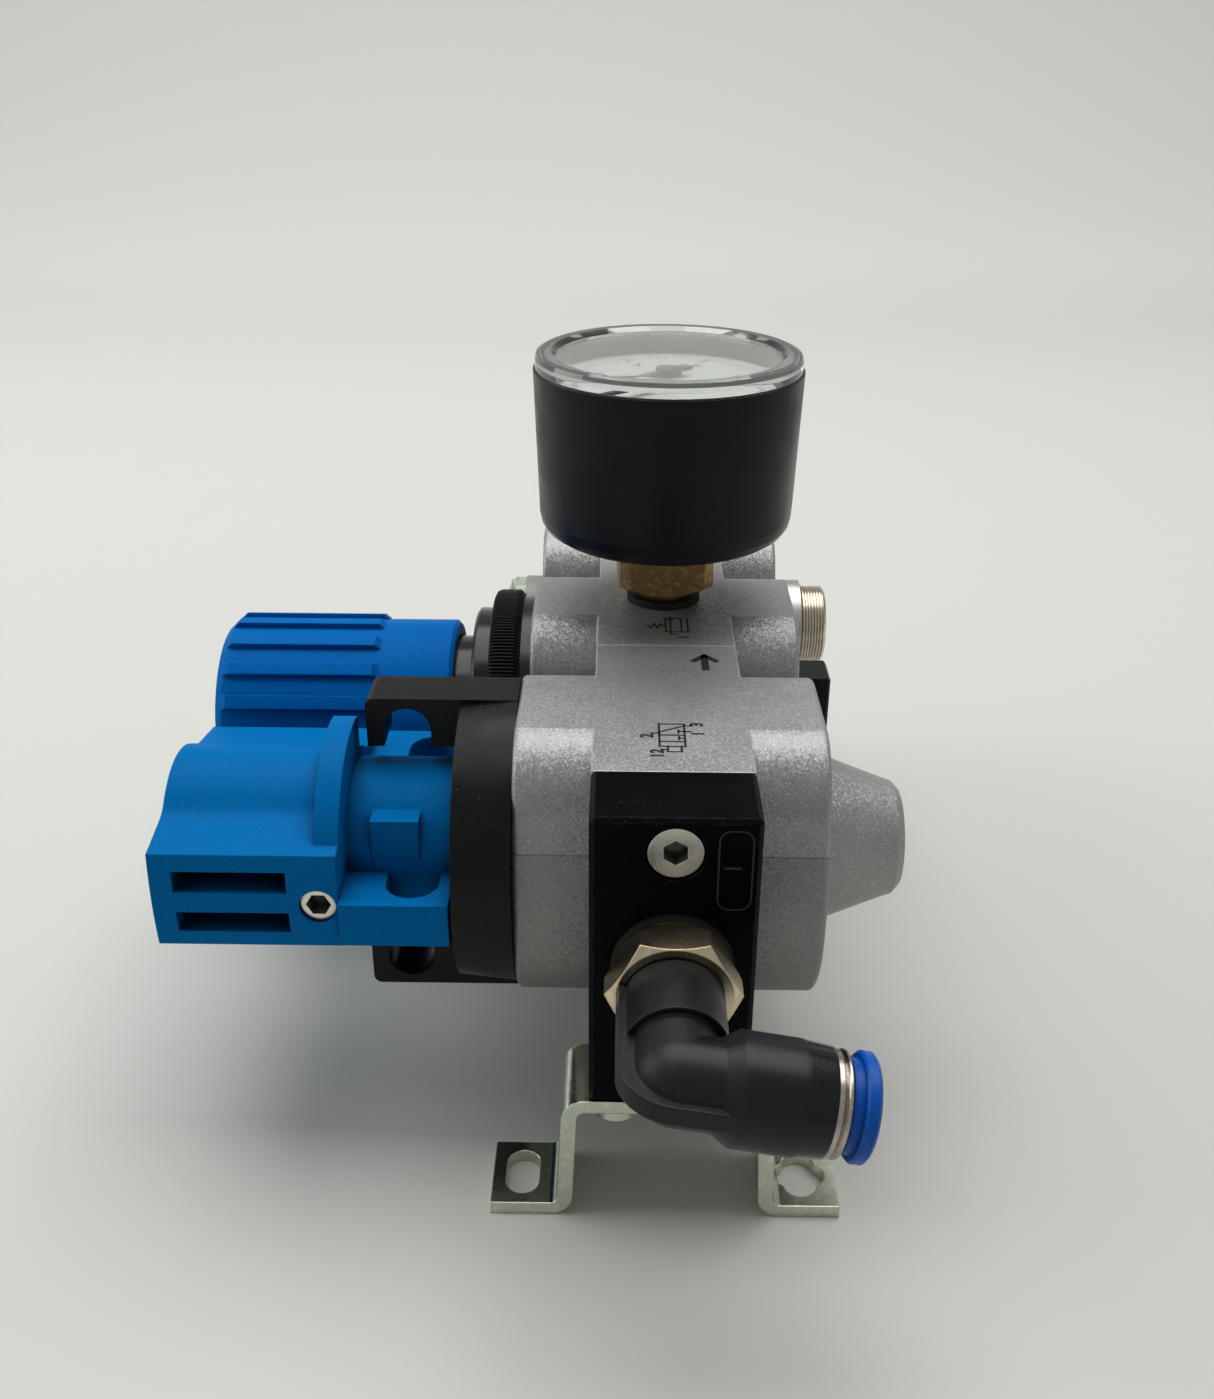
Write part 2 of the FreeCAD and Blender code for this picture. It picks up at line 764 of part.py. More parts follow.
def valve_spool():
    """Spool with three lands: guide, supply and exhaust, each grooved for its seal."""
    nose = spool_lands[0][0]
    tail = spool_lands[-1][1] + spool_tail
    root = spool_radius - seal_groove_depth
    outline = [(nose, 0)]
    for (start, end), groove in zip(spool_lands, land_grooves()):
        if start != nose:
            outline.append((start, spool_waist_radius))
        outline += [(start, spool_radius), (groove, spool_radius), (groove, root),
                    (groove + spool_seal_width, root), (groove + spool_seal_width, spool_radius),
                    (end, spool_radius), (end, spool_waist_radius)]
    outline += [(tail, spool_waist_radius), (tail, 0)]
    socket = rod_x(spool_socket_radius, nose, spindle_bore_end + drive_pin_length + free_gap)
    return on_axis(turned_x(outline).cut(socket), valve_y)


def spool_seals():
    rings = []
    for groove in land_grooves():
        rings.append(ring_x(spool_radius + 0.02, spool_radius - seal_groove_depth, groove,
                            groove + spool_seal_width))
    return on_axis(Part.Compound(rings), valve_y)


def spool_spring():
    start = spool_lands[-1][1] + spring_end_gap
    end = spring_bore_end - spring_end_gap
    return on_axis(coil_x(spool_spring_radius, spool_spring_wire, start, end, 4), valve_y)


# ---- regulator ----
def regulator_body():
    body = casting()
    port_floor = body_half_height - gauge_thread_length - tap_runout
    cuts = [rod_x(counterbore_radius, -lobe_half_width, diaphragm_seat_x),
            rod_x(bonnet_bore_radius, diaphragm_seat_x, -partition_half),
            rod_x(seat_hole_radius, -partition_half, partition_half),
            rod_x(inlet_chamber_radius, partition_half, lobe_half_width),
            rod_z(gauge_thread_radius + running_fit, port_floor, body_half_height),
            rod_z(sense_duct_radius, bonnet_bore_radius - 1.0, port_floor,
                  -partition_half - sense_duct_radius),
            passages(), flank_groove(1), flank_groove(-1)]
    outlet_pocket = pocket(-pocket_reach, -partition_half, bonnet_bore_radius - pocket_lap)
    inlet_pocket = flip_y(pocket(-pocket_reach, -partition_half, inlet_chamber_radius - pocket_lap))
    cuts += [outlet_pocket, inlet_pocket]
    for x in (-stack_screw_x, stack_screw_x):
        depth = stack_screw_grip + tap_runout
        cuts.append(screw_holes(stack_screw_radius + running_fit, x, -half_pitch, -half_pitch + depth))
        cuts.append(screw_holes(stack_screw_radius + running_fit, x, half_pitch - depth, half_pitch))
    return on_axis(body.cut(cuts), regulator_y)


def bonnet():
    """Spring housing: spigot, flange, M36 thread sleeve and the neck inside the knob."""
    spigot_x = diaphragm_seat_x - diaphragm_thickness
    inner_x = bonnet_end_x + bonnet_wall
    bearing = spindle_thread_radius + running_fit
    spigot = counterbore_radius - running_fit
    shape = turned_x([(spigot_x, bonnet_bore_radius), (spigot_x, spigot),
                      (-lobe_half_width, spigot), (-lobe_half_width, bonnet_flange_radius),
                      (bonnet_flange_x, bonnet_flange_radius), (bonnet_flange_x, thread_sleeve_radius),
                      (thread_sleeve_x + 0.5, thread_sleeve_radius),
                      (thread_sleeve_x, thread_sleeve_radius - 0.5),
                      (thread_sleeve_x, bonnet_neck_radius), (bonnet_end_x, bonnet_neck_radius),
                      (bonnet_end_x, bearing), (inner_x, bearing), (inner_x, bonnet_bore_radius)])
    return on_axis(shape, regulator_y)


def union_nut():
    """Knurled panel nut on the thread sleeve."""
    right = bonnet_flange_x
    left = right - nut_width
    outline = []
    for k in range(2 * nut_teeth):
        angle = math.pi * k / nut_teeth
        radius = nut_radius if k % 2 == 0 else nut_radius - nut_tooth_depth
        outline.append(V(left, radius * math.cos(angle), radius * math.sin(angle)))
    knurl = Part.Face(Part.makePolygon(outline + outline[:1])).extrude(V(nut_width, 0, 0))
    chamfer = nut_chamfer
    blank = turned_x([(left, thread_sleeve_radius + running_fit), (left, nut_radius - chamfer),
                      (left + chamfer, nut_radius), (right - chamfer, nut_radius),
                      (right, nut_radius - chamfer), (right, thread_sleeve_radius + running_fit)])
    return on_axis(knurl.common(blank), regulator_y)


def knob_rib(angle):
    rib = box(knob_end_x + knob_edge_round, knob_rib_end_x, -knob_rib_width / 2, knob_rib_width / 2,
              knob_radius - knob_edge_round, knob_rib_radius + 1)
    rib.rotate(V(0, 0, 0), V(1, 0, 0), angle)
    return rib


def adjusting_knob():
    """Blue cap over the bonnet neck: ribbed grip, smooth skirt, inner boss with a hex socket."""
    bore = bonnet_neck_radius + free_gap
    floor_x = knob_end_x + knob_wall
    boss_x = bonnet_end_x - spindle_collar_width - knob_boss_gap
    edge = knob_edge_round
    rise = knob_rib_radius - knob_radius
    cap = turned_x([(knob_end_x, 0), (knob_end_x, knob_radius - edge), (knob_end_x + edge, knob_radius),
                    (knob_rim_x - edge / 2, knob_radius), (knob_rim_x, knob_radius - edge / 2),
                    (knob_rim_x, bore), (floor_x, bore), (floor_x, knob_boss_radius),
                    (boss_x, knob_boss_radius), (boss_x, 0)])
    ribs = [knob_rib(360 * k / knob_rib_count) for k in range(knob_rib_count)]
    envelope = turned_x([(knob_end_x + edge, 0), (knob_end_x + edge, knob_radius),
                         (knob_end_x + edge + rise, knob_rib_radius),
                         (knob_rib_end_x - rise, knob_rib_radius), (knob_rib_end_x, knob_radius),
                         (knob_rib_end_x, 0)])
    grip = ribs[0].fuse(ribs[1:]).common(envelope)
    socket = hexagon_x(spindle_hex_flats + 2 * running_fit, floor_x + 0.5, boss_x)
    return on_axis(cap.fuse(grip).cut(socket).removeSplitter(), regulator_y)


def adjusting_spindle():
    """Threaded spindle: hex drive for the knob, thrust collar, thread for the spring plate."""
    collar_x = bonnet_end_x - spindle_collar_width
    rod = rod_x(spindle_thread_radius, bonnet_end_x, bonnet_end_x + spindle_thread_length)
    collar = rod_x(spindle_collar_radius, collar_x, bonnet_end_x)
    drive = hexagon_x(spindle_hex_flats, knob_end_x + knob_wall + 1.5, collar_x)
    return on_axis(rod.fuse([collar, drive]), regulator_y)


def spring_plate():
    """Threaded plate on the spindle that loads the main spring."""
    bore = spindle_thread_radius + running_fit
    rim = bonnet_bore_radius - free_gap
    hub = main_spring_radius - main_spring_wire / 2 - 2 * free_gap
    face = spring_plate_x + spring_plate_thickness
    nose = face + main_spring_wire
    plate = turned_x([(spring_plate_x, bore), (spring_plate_x, rim), (face, rim), (face, hub),
                      (nose, hub), (nose, bore)])
    return on_axis(plate, regulator_y)


def main_spring():
    start = spring_plate_x + spring_plate_thickness + spring_end_gap
    end = diaphragm_seat_x - diaphragm_thickness - clamp_plate_thickness - spring_end_gap
    return on_axis(coil_x(main_spring_radius, main_spring_wire, start, end, 5), regulator_y)


def diaphragm():
    right = diaphragm_seat_x
    left = right - diaphragm_thickness
    return on_axis(ring_x(counterbore_radius - 0.1, clamp_hub_radius + running_fit, left, right),
                   regulator_y)


def diaphragm_clamp():
    """Spring cup, hub and washer riveted through the diaphragm."""
    left = diaphragm_seat_x - diaphragm_thickness
    washer_end = diaphragm_seat_x + clamp_washer_thickness
    clamp = turned_x([(left - clamp_plate_thickness, 0), (left - clamp_plate_thickness, clamp_plate_radius),
                      (left, clamp_plate_radius), (left, clamp_hub_radius),
                      (diaphragm_seat_x, clamp_hub_radius), (diaphragm_seat_x, clamp_washer_radius),
                      (washer_end, clamp_washer_radius), (washer_end, 0)])
    return on_axis(clamp, regulator_y)


def valve_poppet():
    """Poppet on its seat, with the push stem towards the diaphragm and a guide stem."""
    stem_x = diaphragm_seat_x + clamp_washer_thickness
    face = partition_half
    back = face + poppet_thickness
    tip = back + poppet_guide_length
    poppet = turned_x([(stem_x, 0), (stem_x, poppet_stem_radius), (face, poppet_stem_radius),
                       (face, poppet_radius), (back, poppet_radius), (back, poppet_guide_radius),
                       (tip, poppet_guide_radius), (tip, 0)])
    return on_axis(poppet, regulator_y)


def valve_plug():
    """Black screw plug that guides the poppet, with a bar grip outside."""
    outer = inlet_chamber_radius - running_fit
    guide = poppet_guide_radius + running_fit
    end = lobe_half_width
    near, far = plug_spring_room
    floor = plug_inner_x + plug_spring_depth
    plug = turned_x([(plug_inner_x, guide), (plug_inner_x, guide + near), (floor, guide + near),
                     (floor, guide + far), (plug_inner_x, guide + far), (plug_inner_x, outer),
                     (end, outer), (end, 0), (end - plug_floor, 0), (end - plug_floor, guide)])
    grip = box(end, end + plug_grip_reach, -plug_grip_half_width, plug_grip_half_width,
               -plug_grip_half_height, plug_grip_half_height)
    tip_edges = [e for e in grip.Edges if all(abs(v.X - end - plug_grip_reach) < 1e-6 for v in e.Vertexes)]
    grip = grip.makeChamfer(plug_grip_chamfer, tip_edges)
    return on_axis(plug.fuse(grip), regulator_y)


def poppet_spring():
    start = partition_half + poppet_thickness + spring_end_gap
    end = plug_inner_x + plug_spring_depth - spring_end_gap
    return on_axis(coil_x(poppet_spring_radius, poppet_spring_wire, start, end, 4), regulator_y)


# ---- gauge ----
square_bottom = body_top + gauge_neck_height
case_bottom = square_bottom + gauge_square_height
case_top = case_bottom + gauge_case_height
movement_z = case_bottom + gauge_case_wall + gauge_movement_height
ledge_z = case_top - gauge_ledge_drop
dial_top = ledge_z + gauge_dial_thickness
lens_top = case_top + gauge_lens_rise
post_top = ledge_z - gauge_post_gap
rim_bore = gauge_case_radius - gauge_rim_wall
ledge_bore = rim_bore - gauge_ledge_width


def gauge_socket():
    """Brass connection: thread, neck, turned square for the wrench, and the movement post."""
    half = gauge_square_flats / 2
    square = box(-half, half, -half, half, square_bottom, case_bottom)
    square.rotate(V(0, 0, 0), V(0, 0, 1), gauge_square_turn)
    corner = half * math.sqrt(2) - 1.0
    square = square.common(turned_z([(0, square_bottom), (half - 0.3, square_bottom),
                                     (corner, square_bottom + gauge_square_chamfer),
                                     (corner, case_bottom), (0, case_bottom)]))
    thread = rod_z(gauge_thread_radius, body_top - gauge_thread_length, body_top)
    neck = rod_z(gauge_neck_radius, body_top, square_bottom)
    spigot = rod_z(gauge_neck_radius, case_bottom, movement_z)
    post = rod_z(gauge_post_radius, movement_z, post_top)
    socket = square.fuse([thread, neck, spigot, post])
    flow = rod_z(gauge_flow_radius, body_top - gauge_thread_length, movement_z - 2.0)
    shaft = rod_z(pointer_shaft_radius + running_fit, post_top - pointer_shaft_length - 0.5, post_top)
    return socket.cut([flow, shaft])


def gauge_seal():
    return turned_z([(gauge_neck_radius + running_fit, body_top), (gauge_seal_radius, body_top),
                     (gauge_seal_radius, body_top + gauge_seal_height),
                     (gauge_neck_radius + running_fit, body_top + gauge_seal_height)])


def gauge_case():
    """Black cup with a rounded base and a ledge for the dial."""
    inner = case_bottom + gauge_case_wall
    bore = gauge_neck_radius + running_fit
    base = gauge_case_radius - gauge_case_taper
    outline = [(bore, case_bottom)]
    for degrees in (0, 22.5, 45, 67.5, 90):
        turn = math.radians(degrees)
        outline.append((base - gauge_case_round * (1 - math.sin(turn)),
                        case_bottom + gauge_case_round * (1 - math.cos(turn))))
    outline += [(gauge_case_radius, case_top), (rim_bore, case_top), (rim_bore, ledge_z),
                (ledge_bore, ledge_z), (ledge_bore, inner), (bore, inner)]
    return turned_z(outline)


def gauge_lens():
    """Clear snap-in window with a thick rim; its skirt holds the dial down on the ledge."""
    skirt = rim_bore - running_fit
    inside = skirt - gauge_lens_wall
    rim = gauge_case_radius - gauge_lens_inset
    step = rim - gauge_lens_rim
    pane_top = lens_top - gauge_lens_step
    slant = gauge_lens_round * (1 - math.sqrt(0.5))
    return turned_z([(inside, dial_top), (skirt, dial_top), (skirt, case_top), (rim, case_top),
                     (rim, lens_top - gauge_lens_round), (rim - slant, lens_top - slant),
                     (rim - gauge_lens_round, lens_top), (step + gauge_lens_step, lens_top),
                     (step, pane_top), (0, pane_top), (0, pane_top - gauge_lens_wall),
                     (inside, pane_top - gauge_lens_wall)])


def gauge_dial():
    rim = rim_bore - 0.1
    return turned_z([(gauge_dial_hole, ledge_z), (rim, ledge_z), (rim, dial_top),
                     (gauge_dial_hole, dial_top)])


def gauge_pointer():
    """Tapered pointer on its shaft, at the zero of the scale, front left."""
    low = dial_top + pointer_height
    high = low + pointer_thickness
    tip = ledge_bore - pointer_inset
    root = pointer_root_width / 2
    point = pointer_tip_width / 2
    outline = [V(-pointer_tail, -root, low), V(tip, -point, low),
               V(tip, point, low), V(-pointer_tail, root, low)]
    blade = Part.Face(Part.makePolygon(outline + outline[:1])).extrude(V(0, 0, pointer_thickness))
    blade.rotate(V(0, 0, 0), V(0, 0, 1), pointer_zero)
    hub = rod_z(pointer_hub_radius, low - 0.3, high + 0.3)
    shaft = rod_z(pointer_shaft_radius, post_top - pointer_shaft_length, low)
    return blade.fuse([hub, shaft]).removeSplitter()


def bourdon_tube():
    """C-shaped tube brazed to a foot that stands on the socket."""
    radius = ledge_bore - bourdon_inset
    half = bourdon_width / 2
    low = movement_z + 0.5
    high = low + bourdon_height
    section = [V(radius - half, 0, low), V(radius + half, 0, low), V(radius + half, 0, high),
               V(radius - half, 0, high)]
    face = Part.Face(Part.makePolygon(section + section[:1]))
    tube = face.revolve(V(0, 0, 0), V(0, 0, 1), bourdon_turn)
    foot = box(gauge_post_radius + 0.1, radius + half, -bourdon_foot_width / 2, bourdon_foot_width / 2,
               movement_z, high)
    return tube.fuse(foot)


# ---- lubricator head ----
def lubricator_body():
    body = casting()
    cuts = [rod_y(passage_radius, -half_pitch, half_pitch),
            rod_x(drip_bore_radius, -lobe_half_width, drip_bore_end),
            rod_x(oil_bore_radius, oil_bore_end, lobe_half_width),
            rod_x(oil_duct_radius, drip_bore_end, 0.0),
            rod_x(oil_duct_radius, drip_bore_end, oil_bore_end, 0.0,
                  -passage_radius - oil_duct_radius - 0.4)]
    cuts += [flip_y(cut) for cut in outer_module_holes()]
    return on_axis(body.cut(cuts), lubricator_y)


def dome_seat():
    left = -lobe_half_width - dome_seat_width
    return on_axis(ring_x(dome_seat_radius, drip_bore_radius, left, -lobe_half_width), lubricator_y)


def sight_dome():
    """Clear dome through which the oil drops are watched."""
    skirt = drip_bore_radius - running_fit
    bore = skirt - dome_wall
    seat = -lobe_half_width - dome_seat_width
    crown = seat - dome_height
    bevel = dome_round * (1 - math.sqrt(0.5))
    dome = turned_x([(drip_insert_x, bore), (drip_insert_x, skirt), (seat, skirt), (seat, dome_radius),
                     (crown + dome_round, dome_radius), (crown + bevel, dome_radius - bevel),
                     (crown, dome_radius - dome_round), (crown, 0), (crown + dome_wall, 0),
                     (crown + dome_wall, bore)])
    return on_axis(dome, lubricator_y)


def drip_insert():
    """Carrier of the drip nozzle and the metering screw."""
    face = drip_insert_x
    end = face + drip_insert_thickness
    boss_x = face - metering_boss_length
    disc = rod_x(drip_bore_radius - running_fit, face, end)
    nozzle = rod_x(nozzle_radius, face - nozzle_length, face, 0, nozzle_height)
    boss = rod_x(metering_screw_radius + metering_boss_wall, boss_x, face, 0, metering_screw_height)
    insert = disc.fuse([nozzle, boss])
    cuts = [rod_x(nozzle_bore_radius, face - nozzle_length, end, 0, nozzle_height),
            rod_x(metering_screw_radius + running_fit, boss_x, end - 0.8, 0, metering_screw_height)]
    return on_axis(insert.cut(cuts), lubricator_y)


def metering_screw():
    face = drip_insert_x - metering_boss_length
    head = face - metering_head_height
    shank = rod_x(metering_screw_radius, face, drip_insert_x + drip_insert_thickness - 1.2)
    top = rod_x(metering_head_radius, head, face)
    slot = box(head, head + metering_slot_depth, -metering_head_radius, metering_head_radius,
               -metering_slot_width / 2, metering_slot_width / 2)
    return on_axis(moved(shank.fuse(top).cut(slot), 0, 0, metering_screw_height), lubricator_y)


def venturi_insert():
    """Throat in the air passage that draws the oil in."""
    outer = passage_radius - running_fit
    end = half_pitch - venturi_end_gap
    throat = venturi_throat_half
    insert = turned_y([(-end, venturi_mouth_radius), (-end, outer), (end, outer), (end, venturi_mouth_radius),
                       (throat, venturi_throat_radius), (-throat, venturi_throat_radius)])
    return on_axis(insert, lubricator_y)


def fill_neck():
    inner = lobe_half_width - fill_neck_depth
    end = lobe_half_width + fill_neck_reach
    neck = turned_x([(inner, fill_spigot_radius), (inner, oil_bore_radius - running_fit),
                     (lobe_half_width, oil_bore_radius - running_fit), (lobe_half_width, fill_neck_radius),
                     (end, fill_neck_radius), (end, fill_spigot_radius)])
    return on_axis(neck, lubricator_y)


def fill_plug():
    start = lobe_half_width + fill_neck_reach
    end = start + fill_plug_width
    spigot = fill_spigot_radius - running_fit
    tip = start - fill_spigot_length
    dish = end - fill_plug_dish
    rim = fill_plug_radius - fill_plug_rim
    plug = turned_x([(tip, 0), (tip, spigot), (start, spigot), (start, fill_plug_radius - 0.3),
                     (start + 0.3, fill_plug_radius), (end - 0.6, fill_plug_radius),
                     (end, fill_plug_radius - 0.6), (end, rim), (dish, rim), (dish, 0)])
    return on_axis(plug, lubricator_y)


# ---- end plates ----
def end_plate():
    """Inlet end plate: port, seal groove, screw counterbores and tapped holes for the bracket."""
    plate = box(-plate_half_width, plate_half_width, -plate_face, -stack_half, plate_bottom, body_top)
    outer_edges = [e for e in plate.Edges if abs(e.CenterOfMass.y + stack_half) > 1e-6]
    plate = plate.makeChamfer(plate_chamfer, outer_edges)
    cuts = [moved(rod_y(port_radius, -plate_face, -plate_face + port_depth), 0, 0, axis_height),
            moved(rod_y(passage_radius, -plate_face, -stack_half), 0, 0, axis_height)]
    groove = ring_y(seal_outer_radius + running_fit, seal_inner_radius - running_fit,
                    -stack_half - seal_thickness, -stack_half)
    cuts.append(moved(groove, 0, 0, axis_height))
    sink = plate_screw_head_height + plate_screw_sink
    holes = screw_holes(plate_screw_radius + 0.15, 0, -plate_face, -stack_half)
    heads = screw_holes(plate_screw_head_radius + 0.3, 0, -plate_face, -plate_face + sink)
    cuts += [moved(holes, 0, 0, axis_height), moved(heads, 0, 0, axis_height)]
    for x in (-bracket_screw_x, bracket_screw_x):
        cuts.append(rod_z(bracket_screw_radius + running_fit, plate_bottom,
                          plate_bottom + bracket_screw_length, x, plate_middle))
    return plate.cut(cuts)


def plate_screws():
    """Four socket head screws that hold the end plates."""
    head_y = -plate_face + plate_screw_sink
    tip_y = -stack_half + plate_screw_grip
    screw = rod_y(plate_screw_head_radius, head_y, head_y + plate_screw_head_height)
    screw = screw.fuse(rod_y(plate_screw_radius, head_y + plate_screw_head_height, tip_y))
    screw = screw.cut(hexagon_y(plate_screw_socket_flats, head_y, head_y + plate_screw_socket_depth, 30))
    front = [moved(screw, 0, 0, axis_height + z) for z in (screw_row, -screw_row)]
    return Part.Compound(front + [flip_y(s) for s in front])


def stack_screws():
    """Long screws through the outer modules into the regulator."""
    head_y = -stack_half + 0.2
    shank_y = head_y + stack_screw_head_height
    tip_y = -half_pitch + stack_screw_grip
    screws = []
    for x in (-stack_screw_x, stack_screw_x):
        for z in (screw_row, -screw_row):
            head = rod_y(stack_screw_head_radius, head_y, shank_y, x, axis_height + z)
            shank = rod_y(stack_screw_radius, shank_y, tip_y, x, axis_height + z)
            screws.append(head.fuse(shank))
    return Part.Compound(screws + [flip_y(s) for s in screws])


def module_seals():
    """Four flat rings between the plates and the modules."""
    rings = []
    for y in (-stack_half - seal_thickness, -half_pitch):
        ring = ring_y(seal_outer_radius, seal_inner_radius, y, y + seal_thickness)
        rings.append(moved(ring, 0, 0, axis_height))
    return Part.Compound(rings + [flip_y(r) for r in rings])


# ---- brackets ----
def rounded_wire(corners):
    """Closed wire through (x, z, radius) corners in the XZ plane, each rounded by its radius."""
    edges = []
    ends = []
    count = len(corners)
    for k in range(count):
        before = V(corners[k - 1][0], 0, corners[k - 1][1])
        here = V(corners[k][0], 0, corners[k][1])
        after = V(corners[(k + 1) % count][0], 0, corners[(k + 1) % count][1])
        to_before = (before - here).normalize()
        to_after = (after - here).normalize()
        half_angle = to_before.getAngle(to_after) / 2
        radius = corners[k][2]
        run = radius / math.tan(half_angle)
        start = here + to_before * run
        end = here + to_after * run
        if radius > 0:
            bisector = (to_before + to_after).normalize()
            nearest = radius / math.sin(half_angle) - radius
            edges.append(Part.Arc(start, here + bisector * nearest, end).toShape())
        ends.append((start, end))
    for k in range(count):
        edges.append(Part.LineSegment(ends[k - 1][1], ends[k][0]).toShape())
    return Part.Wire(Part.__sortEdges__(edges))


def bracket():
    """Bent hat-section foot bracket of zinc-plated sheet under the inlet plate."""
    t = sheet_thickness
    low, high, foot = leg_half_width_low, leg_half_width_high, foot_half_width
    inside, outside = bend_radius, bend_radius + t
    right_top = [(foot, 0, 0), (foot, t, 0), (low, t, inside), (high, plate_bottom, outside)]
    right_under = [(high - t, plate_bottom - t, inside), (low - t, 0, outside)]
    left_top = [(-x, z, r) for x, z, r in reversed(right_top)]
    left_under = [(-x, z, r) for x, z, r in reversed(right_under)]
    outline = rounded_wire(right_top + left_top + left_under + right_under)
    sheet = moved(Part.Face(outline).extrude(V(0, plate_thickness, 0)), 0, -plate_face, 0)
    middle = plate_middle
    reach = (foot_slot_length - 2 * foot_slot_radius) / 2
    cuts = []
    for x in (-foot_slot_x, cross_slot_x):
        cuts.append(box(x - foot_slot_radius, x + foot_slot_radius, middle - reach, middle + reach, 0, t))
        for y in (middle - reach, middle + reach):
            cuts.append(rod_z(foot_slot_radius, 0, t, x, y))
    cross = (cross_slot_length - 2 * foot_slot_radius) / 2
    for x in (cross_slot_x - cross, cross_slot_x + cross):
        cuts.append(rod_z(foot_slot_radius, 0, t, x, middle))
    for x in (-bracket_screw_x, bracket_screw_x):
        cuts.append(rod_z(bracket_screw_radius + 0.2, plate_bottom - t, plate_bottom, x, middle))
    return sheet.cut(cuts)


def bracket_screws():
    """Pan head screws from below, two for each bracket."""
    seat = plate_bottom - sheet_thickness
    tip = plate_bottom + bracket_screw_length - tap_runout
    screws = []
    for x in (-bracket_screw_x, bracket_screw_x):
        rim = pan_head_radius
        crown = seat - pan_head_height
        head = turned_z([(0, seat), (rim, seat), (rim, seat - pan_head_rim),
                         (rim - pan_head_crown / 2, crown + pan_head_crown / 3),
                         (rim - pan_head_crown, crown), (0, crown)])
        slot = box(-pan_head_slot / 2, pan_head_slot / 2, -pan_head_slot_length / 2,
                   pan_head_slot_length / 2, crown, crown + pan_head_slot_depth)
        head = moved(head.cut([slot, quarter_turn_z(slot)]), x, plate_middle)
        screws.append(head.fuse(rod_z(bracket_screw_radius, seat, tip, x, plate_middle)))
    return Part.Compound(screws + [flip_y(s) for s in screws])


# ---- swivel fitting ----
stud_face = -plate_face - fitting_seal_width
hex_face = stud_face - hex_width
outlet_y = -plate_face - elbow_reach


def fitting_seal():
    ring = ring_y(fitting_seal_radius, port_radius, stud_face, -plate_face)
    return moved(ring, 0, 0, axis_height)


def fitting_stud():
    """Nickel-plated stud: hexagon with turned chamfers, thread into the plate, swivel bore."""
    corner = hex_flats / math.sqrt(3)
    bar = hexagon_y(hex_flats, hex_face, stud_face)
    flat = hex_flats / 2
    form = turned_y([(hex_face, 0), (hex_face, flat - 0.1), (hex_face + hex_chamfer, corner),
                     (stud_face - 2 * hex_chamfer, corner), (stud_face - hex_chamfer, flat),
                     (stud_face, flat), (stud_face, 0)])
    thread = rod_y(port_radius - running_fit, stud_face, -plate_face + port_depth - tap_runout)
    bore = rod_y(swivel_radius, hex_face, hex_face + swivel_depth + swivel_end_gap)
    flow = rod_y(bore_of_flow, hex_face, -plate_face + port_depth - tap_runout)
    return moved(bar.common(form).fuse(thread).cut([bore, flow]), 0, 0, axis_height)


def drooped(shape):
    """Turn a shape made with its outlet along +X down by the droop angle, onto the port axis."""
    copy = shape.copy()
    copy.rotate(V(0, 0, 0), V(0, 1, 0), outlet_droop)
    return moved(copy, 0, 0, axis_height)


def along_outlet(shape):
    return drooped(moved(shape, 0, outlet_y, 0))


def elbow_web():
    """Flat web round the outside of the bend, in the plane of both axes."""
    front = outlet_y - web_front
    back = hex_face - free_gap
    side = -web_side
    corner = web_round
    straight_x = side + corner
    straight_y = front + corner
    bend = corner * (1 - math.sqrt(0.5))
    low = -web_half_thickness
    edges = [Part.LineSegment(V(0, back, low), V(side, back, low)).toShape(),
             Part.LineSegment(V(side, back, low), V(side, straight_y, low)).toShape(),
             Part.Arc(V(side, straight_y, low), V(side + bend, front + bend, low),
                      V(straight_x, front, low)).toShape(),
             Part.LineSegment(V(straight_x, front, low), V(outlet_cone_end, front, low)).toShape(),
             Part.LineSegment(V(outlet_cone_end, front, low), V(outlet_cone_end, outlet_y, low)).toShape(),
             Part.LineSegment(V(outlet_cone_end, outlet_y, low), V(0, outlet_y, low)).toShape(),
             Part.LineSegment(V(0, outlet_y, low), V(0, back, low)).toShape()]
    return Part.Face(Part.Wire(edges)).extrude(V(0, 0, 2 * web_half_thickness))


def fitting_elbow():
    """Black swivel elbow: spigot in the stud, round stem, bend with its web, barrel for the tube."""
    stem = rod_y(stem_radius, outlet_y + stem_end, hex_face - free_gap)
    neck = rod_y(bend_body_radius, outlet_y, outlet_y + stem_end)
    spigot = rod_y(swivel_radius - running_fit, hex_face - free_gap, hex_face + swivel_depth)
    knuckle = Part.makeSphere(bend_body_radius, V(0, outlet_y, 0))
    barrel = turned_x([(0, 0), (0, bend_body_radius), (outlet_cone_start, bend_body_radius),
                       (outlet_cone_end, outlet_radius), (outlet_taper_start, outlet_radius),
                       (outlet_body_end, outlet_tip_radius), (outlet_body_end, 0)])
    elbow = stem.fuse([neck, spigot, knuckle, moved(barrel, 0, outlet_y), elbow_web()])
    cuts = [rod_y(bore_of_flow, outlet_y, hex_face + swivel_depth),
            rod_x(bore_of_flow, 0, tube_stop, outlet_y),
            rod_x(tube_radius, tube_stop, outlet_body_end, outlet_y),
            rod_x(grip_bore_radius, grip_bore_start, outlet_body_end, outlet_y)]
    return drooped(elbow.cut(cuts))


def fitting_trim_ring():
    """Nickel-plated ring that closes the outlet and holds the release ring."""
    end = outlet_body_end + trim_ring_width
    middle = (outlet_body_end + end) / 2
    inner = grip_bore_radius
    outer = trim_ring_radius
    groove = trim_groove_depth
    ring = turned_x([(outlet_body_end, inner), (outlet_body_end, outer), (middle - groove, outer),
                     (middle, outer - groove), (middle + groove, outer), (end - groove, outer),
                     (end, outer - groove), (end, inner)])
    return along_outlet(ring)


release_nose_x = outlet_body_end - release_nose


